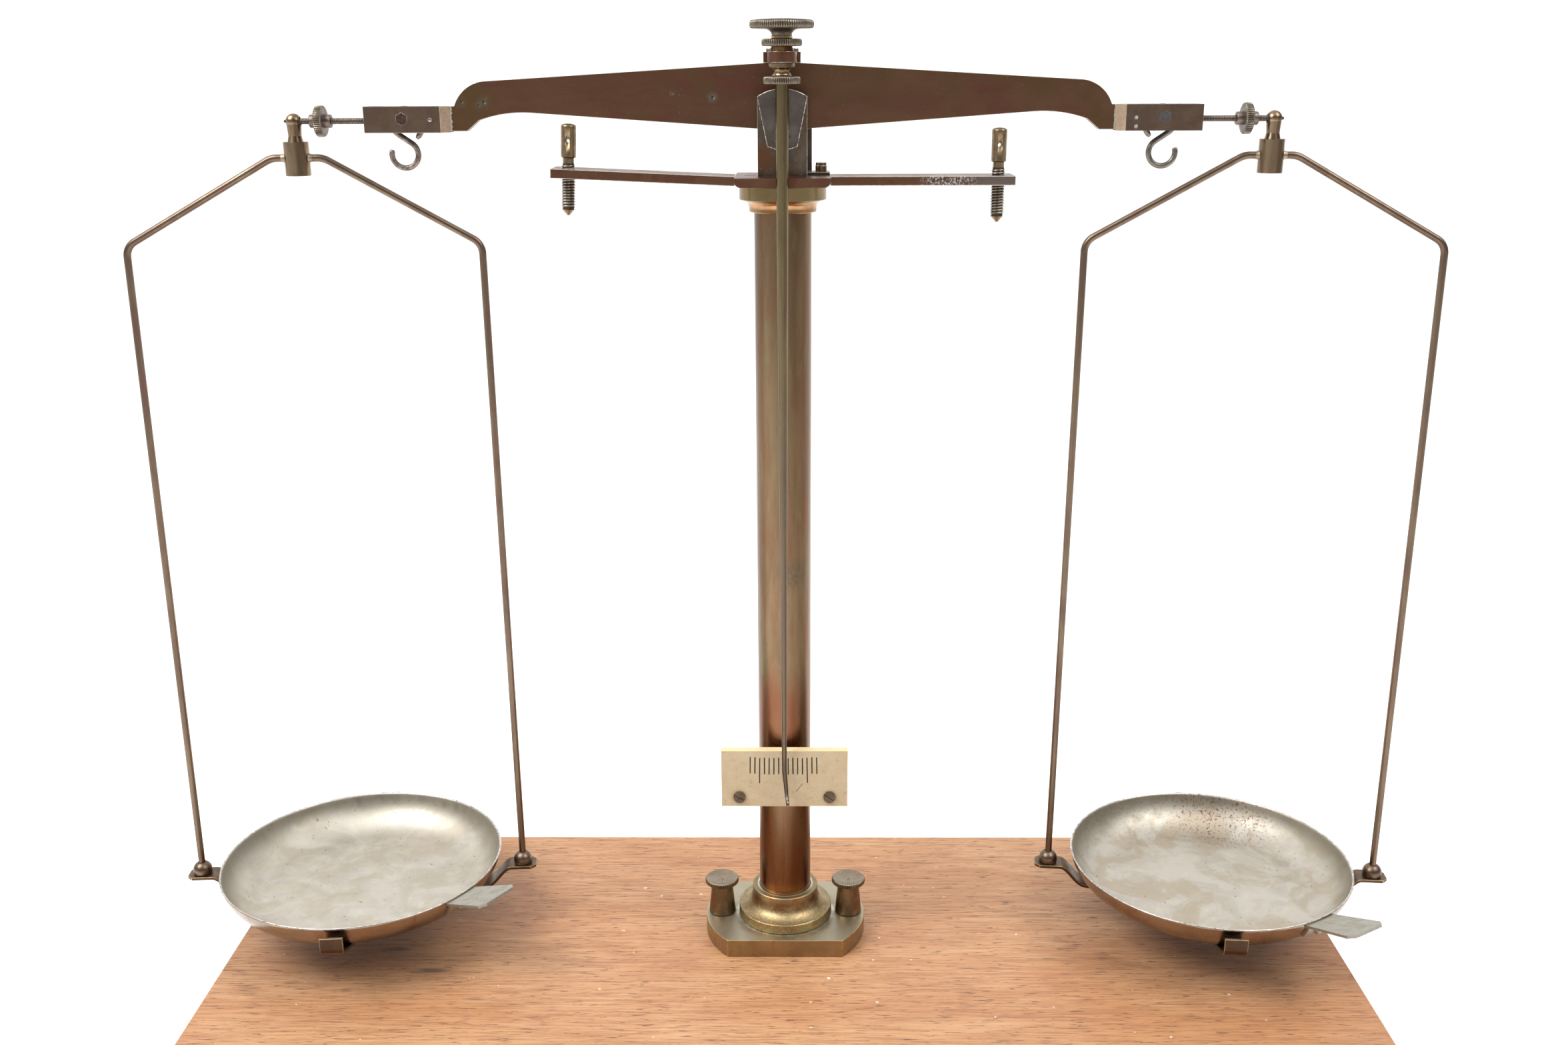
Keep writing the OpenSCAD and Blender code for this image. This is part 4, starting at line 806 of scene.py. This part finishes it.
def index_parts():
    """Bone plate with its hand-cut marks and a scratch, and its slotted screws turned as they were left."""
    plate = new_piece("index_plate_cut", cad_copy("index_plate"), ["bone"])
    round_edges(plate, 0.3)
    marks, pitch, middle = 15, 2.365, -0.5
    top_z, short, long, depth = 127.5, 9.0, 13.7, 0.6
    fan, wobble = -1.2, 0.5  # degrees that the outer marks lean, and that any mark is off
    cutter = bmesh.new()
    for i in range(marks):
        # Hand cut: the fifth from the middle is long, and all vary a little in height, lean and width
        from_middle = i - (marks - 1) / 2
        length = long if abs(from_middle) == 5 else short
        top = top_z + (0.4 if abs(from_middle) > 5 else 0) - 0.12 * (i % 3)
        lean = math.radians(fan * from_middle / 7 + wobble * ((i * 5) % 3 - 1))
        centre = Vector((middle + from_middle * pitch, index_low.y, top - length / 2)) * MM
        add_block(cutter, (0.55 + 0.05 * (i % 2), depth, length),
                  Matrix.Translation(centre) @ Matrix.Rotation(lean, 4, "Y"))
    scratch = Vector((7.35, index_low.y, index_low.z + 10.25)) * MM
    add_block(cutter, (0.22, 0.3, 5.6), Matrix.Translation(scratch) @ Matrix.Rotation(math.radians(36), 4, "Y"))
    carve(plate, new_piece("marks", cutter, ["line"]))
    plate.data.shade_flat()
    drop_stored_normals(plate)
    stands_for(plate, "index_plate")

    low, high = mm_box("index_screws")
    reach = (high.z - low.z) / 2
    mesh = cad_copy("index_screws")
    centres = []
    for side, turn in ((-1, 27), (1, 35)):
        centre = Vector((side * (high.x - reach), 0, low.z + reach)) * MM
        centres.append(centre.xz)
        bmesh.ops.rotate(mesh, verts=[v for v in mesh.verts if v.co.x * side > 0], cent=centre,
                         matrix=Matrix.Rotation(math.radians(turn), 3, "Y"))
    dark_slots(centres, 1)(mesh)
    screws = new_piece("index_screws_worn", mesh, ["screw_brown", "dull", "line"])
    round_edges(screws, 0.15)
    stands_for(screws, "index_screws")


# ---- turned parts ----


def mouldings():
    """The column's foot and cap, with small rounds on every edge."""
    low, high = mm_box("foot_moulding")
    z0, r = low.z, high.x
    ring_h, neck_r, top_h, soft = 5.4, 17.0, column_z0 - z0, 0.35
    hollow = r - neck_r
    rows = [(tube_r - 2, z0 + 0.1), (r - soft, z0 + 0.1), (r, z0 + 0.1 + soft), (r, z0 + ring_h - soft),
            (r - soft, z0 + ring_h)]
    rows += arc(r, z0 + ring_h + hollow, hollow, -92, -178, 14)
    rows += [(neck_r, z0 + top_h - soft), (neck_r - soft, z0 + top_h), (tube_r + 0.4, z0 + top_h),
             (tube_r, z0 + top_h - 0.4), (tube_r - 2, z0 + top_h - 0.4)]
    stands_for(turned("foot_moulding_turned", rows, ["moulding"], 128), "foot_moulding")

    cap_h, flange_h, ring_h, flange_r, ring = 12.1, 1.7, 6.6, 15.5, 20.0
    curve = cap_h - flange_h - ring_h
    z0 = column_z1
    rows = [(tube_r - 2, z0), (flange_r - soft, z0), (flange_r, z0 + soft), (flange_r, z0 + flange_h - 0.2)]
    rows += arc(flange_r + curve, z0 + flange_h, curve, 178, 92, 10)
    rows += [(ring - soft, z0 + cap_h - ring_h), (ring, z0 + cap_h - ring_h + soft), (ring, z0 + cap_h - soft),
             (ring - soft, z0 + cap_h), (tube_r - 2, z0 + cap_h)]
    stands_for(turned("column_cap_turned", rows, ["cap"], 128), "column_cap")


def along_x(centre, side):
    """Places a part turned about Z so that its axis runs along X, outwards on its side."""
    return Matrix.Translation(centre) @ Matrix.Rotation(math.radians(90 * side), 4, "Y")


def centre_of(node):
    low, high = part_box(node)
    return (low + high) / 2


def knurled_disc(r, z0, z1, depth=0.3, soft=0.55):
    """Rows of a disc's rim: ridges that bulge a little, with rounded corners above and below."""
    bulge = 0.12
    return [(r - soft - bulge, z0), (knurled(r - bulge - soft * 0.3, depth), z0 + soft * 0.35),
            (knurled(r - bulge * 0.4, depth), z0 + soft), (knurled(r, depth), (z0 + z1) / 2),
            (knurled(r - bulge * 0.4, depth), z1 - soft),
            (knurled(r - bulge - soft * 0.3, depth), z1 - soft * 0.35), (r - soft - bulge, z1)]


def balance_nuts_and_rods():
    bore = 1.46
    for name, side in SIDES.items():
        hub_r, hub, disc_r, disc = 3.0, 4.85, 6.95, 1.8  # hub and disc are half lengths
        rows = [(bore, -hub), (hub_r - 0.3, -hub), (hub_r, -hub + 0.3), (hub_r, -disc)]
        rows += knurled_disc(disc_r, -disc, disc)
        rows += [(hub_r, disc), (hub_r, hub - 0.3), (hub_r - 0.3, hub), (bore, hub)]
        nut = turned("balance_nut_%s_turned" % name, rows, ["rod", "knurl", "groove"], 176,
                     place=along_x(centre_of("balance_nut_" + name), side))
        stands_for(nut, "balance_nut_" + name)

        low, high = mm_box("balance_rod_" + name)
        length = high.x - low.x
        r = (high.z - low.z) / 2
        pitch, vee = 0.7, 0.2
        rows = [(0, 0), (r, 0)] + thread_rows(r, 0.2, length - 1.8, pitch, vee, 5)
        rows += [(r * 0.9, length - 1.6), (0.35, length - 0.1), (0, length)]
        start = Vector(((low.x if side > 0 else high.x), 0, (low.z + high.z) / 2)) * MM
        rod = turned("balance_rod_%s_threaded" % name, rows, ["rod", "groove"], 20, place=along_x(start, side))
        for face in rod.data.polygons:
            if (face.center - start).yz.length < (r - 0.11) * MM and abs(face.normal.x) < 0.9:
                face.material_index = 1
        stands_for(rod, "balance_rod_" + name)


def stop_screws():
    """Stop screws with a vee thread, a waist, a cross hole and a domed head, along their joints' axes."""
    axes = {j["name"].split("_")[0]: Vector(j["axis"]) for j in frame["joints"] if "stop_travel" in j["name"]}
    for name in SIDES:
        node = "stop_screw_" + name
        low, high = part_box(node)
        axis = axes[name].normalized()
        head_r, head_h, dome, waist_h, waist_r, tip_r, tip_h, r = 3.4, 15.0, 1.2, 2.6, 2.55, 0.6, 2.6, 3.175
        pitch, vee, hole_r, hole_z = 1.27, 0.62, 1, -7.7
        lean = math.asin(axis.x)
        total = ((high.z - low.z) / MM - abs(tip_r * math.sin(lean))) / math.cos(lean)
        rows = [(0, -total), (tip_r, -total), (r - 0.3, -total + tip_h)]
        rows += thread_rows(r, -total + tip_h + 0.3, -head_h - waist_h - 0.2, pitch, vee, 8)
        rows += [(waist_r, -head_h - waist_h), (waist_r, -head_h - 0.3), (head_r - 0.25, -head_h),
                 (head_r, -head_h + 0.25), (head_r, -dome - 0.15)]
        rows += [(head_r * math.cos(math.radians(a)), -dome + dome * math.sin(math.radians(a)))
                 for a in (12, 30, 50, 70)] + [(0, 0)]
        turn = Vector((0, 0, 1)).rotation_difference(axis).to_matrix().to_4x4()
        # The domed top's highest point and the pointed end's lowest point fix the screw's place
        middle = turn @ Vector((0, 0, -total / 2 * MM))
        head = Vector(((low.x + high.x) / 2 - middle.x, 0, high.z))
        place = Matrix.Translation(head) @ turn
        screw = turned(node + "_cut", rows, ["screw"], 32, place=place)
        hole = bmesh.new()
        across = Matrix.Translation((0, 0, hole_z * MM)) @ Matrix.Rotation(math.pi / 2, 4, "X")
        bmesh.ops.create_cone(hole, cap_ends=True, segments=24, radius1=hole_r * MM, radius2=hole_r * MM,
                              depth=4 * head_r * MM, matrix=place @ across)
        carve(screw, new_piece("hole", hole, ["screw"]))
        add_looks(screw, "thread", "groove")
        for face in screw.data.polygons:
            spot = place.inverted() @ face.center
            if (tip_h - total) * MM < spot.z < -(head_h + waist_h) * MM and spot.xy.length > (hole_r + 0.2) * MM:
                in_groove = spot.xy.length < (r - 0.36) * MM
                face.material_index = 2 if in_groove else 1
        stands_for(screw, node)


def thumb_screws():
    for name in SIDES:
        node = "thumb_screw_" + name
        low, high = mm_box(node)
        r, shank_r, body_h, body_r0, body_r1 = high.x - (low.x + high.x) / 2, 3.1, 17.0, 6.95, 5.4
        foot, top = plate_z, high.z
        dish_r, pip = r - 1.4, 1.1
        rows = [(0, low.z), (shank_r, low.z), (shank_r, foot + 0.1), (body_r0 - 0.3, foot + 0.1),
                (body_r0, foot + 0.5), (body_r1, foot + body_h - 0.6), (body_r1 + 0.5, foot + body_h - 0.1)]
        rows += knurled_disc(r, foot + body_h, top, 0.25, 0.5)
        rows += [(dish_r + 0.4, top), (dish_r, top - 0.2), (dish_r * 0.8, top - 0.8), (dish_r * 0.55, top - 1.3),
                 (dish_r * 0.3, top - 1.55), (1.0, top - 1.6), (0.5, top - 1.4), (0, top - 1.6 + pip)]
        at = Matrix.Translation(((low.x + high.x) / 2 * MM, 0, 0))
        screw = turned(node + "_turned", rows, ["thumb", "thumb", "groove"], 220, place=at)
        add_looks(screw, "thumb_top")
        for face in screw.data.polygons:
            if face.normal.z > 0.5 and face.center.z > (top - 1.7) * MM:
                face.material_index = 3
        stands_for(screw, node)


def adjusting_nuts():
    """The lock nuts below and above the bracket, and the broad gravity nut on top."""
    pointer = centre_of("lower_lock_nut")
    at = Matrix.Translation((pointer.x, pointer.y, 0))
    bore = 2.96
    low, high = mm_box("lower_lock_nut")
    z0, z1, r = low.z, high.z, high.x
    collar_r, collar_h, disc_h, waist_r = 5.65, 2.2, 3.1, 3.8
    rows = [(bore, z0)] + knurled_disc(r, z0, z0 + disc_h)
    half = (z1 - collar_h - z0 - disc_h) / 2
    rows += arc(waist_r + 1.6, z0 + disc_h + half, half * 0.98, -100, -260, 10)
    rows = [(max(x, waist_r), z) if not callable(x) and z > z0 + disc_h and z < z1 - collar_h else (x, z)
            for x, z in rows]
    rows += [(collar_r - 0.3, z1 - collar_h), (collar_r, z1 - collar_h + 0.3), (collar_r, z1 - 0.3),
             (collar_r - 0.3, z1), (bore, z1)]
    stands_for(turned("lower_lock_nut_turned", rows, ["barrel", "knurl", "groove"], 200, place=at),
               "lower_lock_nut")

    low, high = mm_box("upper_lock_nut")
    z0, z1, r = low.z, high.z, high.x
    rows = [(bore, z0), (5.2, z0), (5.4, z0 + 0.2), (4.9, z0 + 1.2), (4.5, z0 + 1.9), (4.9, z0 + 2.15)]
    rows += knurled_disc(r, z0 + 2.2, z1)
    rows += [(bore, z1)]
    stands_for(turned("upper_lock_nut_turned", rows, ["barrel", "knurl", "groove"], 216, place=at),
               "upper_lock_nut")

    low, high = mm_box("gravity_nut")
    z0, r = low.z, high.x
    neck_h, disc_h, neck_r, crown = 4.2, 3.3, 4.65, high.z
    rows = [(0, z0 + 5.6), (bore, z0 + 5.6), (bore, z0), (neck_r - 0.2, z0), (neck_r, z0 + 0.2),
            (neck_r, z0 + 1.0), (neck_r - 0.3, z0 + 1.2), (neck_r - 0.2, z0 + 2.1), (neck_r + 0.4, z0 + 3.0),
            (neck_r + 1.4, z0 + 3.7), (neck_r + 2.8, z0 + neck_h - 0.15), (neck_r + 3.2, z0 + neck_h - 0.02)]
    rows += knurled_disc(r, z0 + neck_h, z0 + neck_h + disc_h, soft=0.8)
    rows += [(r - 0.6, z0 + neck_h + disc_h + 0.02), (r * 0.8, crown - 0.5), (r * 0.6, crown - 0.3),
             (r * 0.33, crown - 0.02), (0, crown)]
    nut = turned("gravity_nut_turned", rows, ["knurl", "knurl", "groove"], 336, place=at)
    add_looks(nut, "band")
    for face in nut.data.polygons:
        if face.center.z < (z0 + 1.1) * MM:
            face.material_index = 3
    stands_for(nut, "gravity_nut")


def pans():
    """Spun pans: flat floor, swept wall and a thin rounded rim."""
    for name in SIDES:
        node = "pan_" + name
        low, high = mm_box(node)
        r, z0, z1, corner, wall = (high.x - low.x) / 2, low.z, high.z, 22.0, 1.2
        lean = math.degrees(math.acos((corner - (z1 - z0)) / corner))
        cx = r - corner * math.sin(math.radians(lean))
        outer = arc(cx, z0 + corner, corner, -90, -90 + lean, 20)
        inner = arc(cx, z0 + corner, corner - wall, -90 + lean, -90, 20)
        rim = ((outer[-1][0] + inner[0][0]) / 2, z1 - wall / 2)
        outer = outer[:-1] + [(outer[-1][0] - 0.12, z1 - 0.55), (outer[-1][0] - 0.25, z1 - 0.2)]
        lip = [(rim[0] + 0.15, z1 - 0.02), (rim[0] - 0.2, z1 - 0.05)]
        inner = [(inner[0][0] + 0.02, z1 - 0.35)] + inner[1:]
        floor = (0, 0.3, 0.6, 0.85)
        rows = [(cx * s, z0) for s in floor] + outer + lip + inner + [(cx * s, z0 + wall) for s in floor[::-1]]
        place = Matrix.Translation(((low.x + high.x) / 2 * MM, (low.y + high.y) / 2 * MM, 0))
        pan = turned(node + "_spun", rows, [node, "rim", "pan_outer"], 160, place=place, smooth_below=60)
        for face in pan.data.polygons:
            out = (face.center - place.translation).xy.normalized()
            if face.center.z > (z1 - 0.3) * MM:
                face.material_index = 1
            elif face.normal.dot(Vector((*out, -0.5))) > 0:
                face.material_index = 2
        stands_for(pan, node)


# ---- wire parts ----


def hooks():
    """S-hooks bent from round wire: an open loop below and one over the knife that widens to a thin end."""
    low_r, high_r, end_r = 6.0, 6.2, 7.4
    for name, side in SIDES.items():
        node = "s_hook_" + name
        low, high = mm_box(node)
        wire = (high.y - low.y) / 2
        knife = mm_box("end_knife_" + name)
        knife_x = (knife[0].x + knife[1].x) / 2 * side
        # The loops' centres, below and above. The straight between the loops touches both
        below = Vector((knife_x + 0.9, knife_z - 18.8))
        above = Vector((knife_x - 0.1, knife_z - 4.8))
        span = above - below
        lean = math.degrees(math.atan2(span.y, span.x) - math.asin((low_r + high_r) / span.length))
        points = arc(below.x, below.y, low_r, 380, lean + 90, 44)
        points += arc(above.x, above.y, high_r, lean - 90, 90, 24)
        points += arc(above.x, above.y + high_r - end_r, end_r, 90, 230, 24)[1:]
        path = [Vector((side * x, 0, z)) * MM for x, z in points]
        # Both ends thin out, within the CAD wire's radius
        radii = [wire - 0.02] * len(path)
        radii[0], radii[1] = wire - 0.4, wire - 0.1
        radii[-3:] = [wire - 0.05, wire - 0.2, wire - 0.65]
        stands_for(tube(node + "_bent", path, radii, ["hook_" + name]), node)


def solder_fillets():
    """Rough solder where each bail's wire enters its barrel. It turns with the bail."""
    for name, side in SIDES.items():
        joint = next(j for j in frame["joints"] if j["name"] == name + "_bail_swing")
        origin, axis = Vector(joint["pos_m"]), Vector(joint["axis"]).normalized()
        reach = 5.6  # from the barrel's axis to its side
        for end in (-1, 1):
            turn = Vector((0, 0, 1)).rotation_difference(axis * end).to_matrix().to_4x4()
            rows = [(1.75, reach - 0.6), (2.3, reach - 0.6), (2.2, reach), (1.95, reach + 0.4),
                    (1.8, reach + 0.9), (1.72, reach + 1.4)]
            piece = turned("solder_%s_%s" % (name, "out" if end * side > 0 else "in"), rows, ["solder"], 28,
                           place=Matrix.Translation(origin) @ turn)
            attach(piece, name + "_bail")


# ---- nodes that keep their CAD mesh ----

KEPT = {
    "thread_inserts": "screw", "column_tube": "column", "tie_rod": "steel", "tie_rod_nut": "steel",
    "tie_rod_washer": "steel", "cap_screws": "dull", "bearing_blocks": "steel", "centre_knife": "steel",
    "block_pins": "chipped", "end_knife_left": "rust", "end_knife_right": "steel", "pointer": "pointer",
    "hanger_eye_left": "barrel", "hanger_eye_right": "barrel", "bail_wire_left": "wire", "bail_wire_right": "wire",
}


def keep_nodes():
    for name, look in KEPT.items():
        nodes[name].data.materials[0] = LOOKS[look]


# ---- studio ----


def area_light(name, place, target, size, power):
    light = bpy.data.lights.new(name, "AREA")
    light.shape = "RECTANGLE"
    light.size, light.size_y = size
    light.energy = power
    towards = (Vector(target) - Vector(place)).to_track_quat("-Z", "Y")
    link(name, light).matrix_world = Matrix.Translation(place) @ towards.to_matrix().to_4x4()


def studio():
    """A pale floor, white all round and above, dimmer towards the front, with two soft lights."""
    far = 200
    mesh = bmesh.new()
    bmesh.ops.create_grid(mesh, x_segments=1, y_segments=1, size=far)
    floor = link("floor", mesh_data("floor", mesh))
    floor.location.z = cad_box[0].z - 0.2 * MM
    g = Graph(bpy.data.materials.new("floor_pale"))
    front = g.step(g.y, -1400, -350)
    g.colour = g.mix(front, (0.5, 0.5, 0.5), (0.92, 0.92, 0.92))
    fine = g.noise(0.05)
    g.finish(g.step(fine, 0, 1, (0.6, 0.7)), fine, 0.01, 0.0,
             Emission_Color=(1, 1, 1, 1), Emission_Strength=0.3)
    floor.data.materials.append(g.owner)

    w = Graph(bpy.data.worlds.new("studio"), "Generated", 1.0)
    bpy.context.scene.world = w.owner
    behind = w.step(w.minus(w.y, w.times(w.x, 0.12)), -0.25, 0.75)
    above = w.step(w.z, 0.4, 0.92)
    shade = w.mix(w.math("MAXIMUM", behind, above), (0.15, 0.15, 0.155), (1.25, 1.25, 1.26))
    background = w.add("Background", {"Color": shade, "Strength": 1.0})
    w.add("OutputWorld", {"Surface": background.outputs[0]})
    area_light("soft_left", (-0.95, -0.5, 1.35), (-0.05, 0, 0.2), (0.8, 0.8), 24)
    area_light("soft_right", (0.95, -0.5, 1.35), (0.05, 0, 0.2), (0.8, 0.8), 12)


make_camera()
boxy_parts()
index_parts()
mouldings()
balance_nuts_and_rods()
stop_screws()
thumb_screws()
adjusting_nuts()
pans()
hooks()
solder_fillets()
keep_nodes()
studio()
bpy.context.scene.view_settings.view_transform = "Standard"
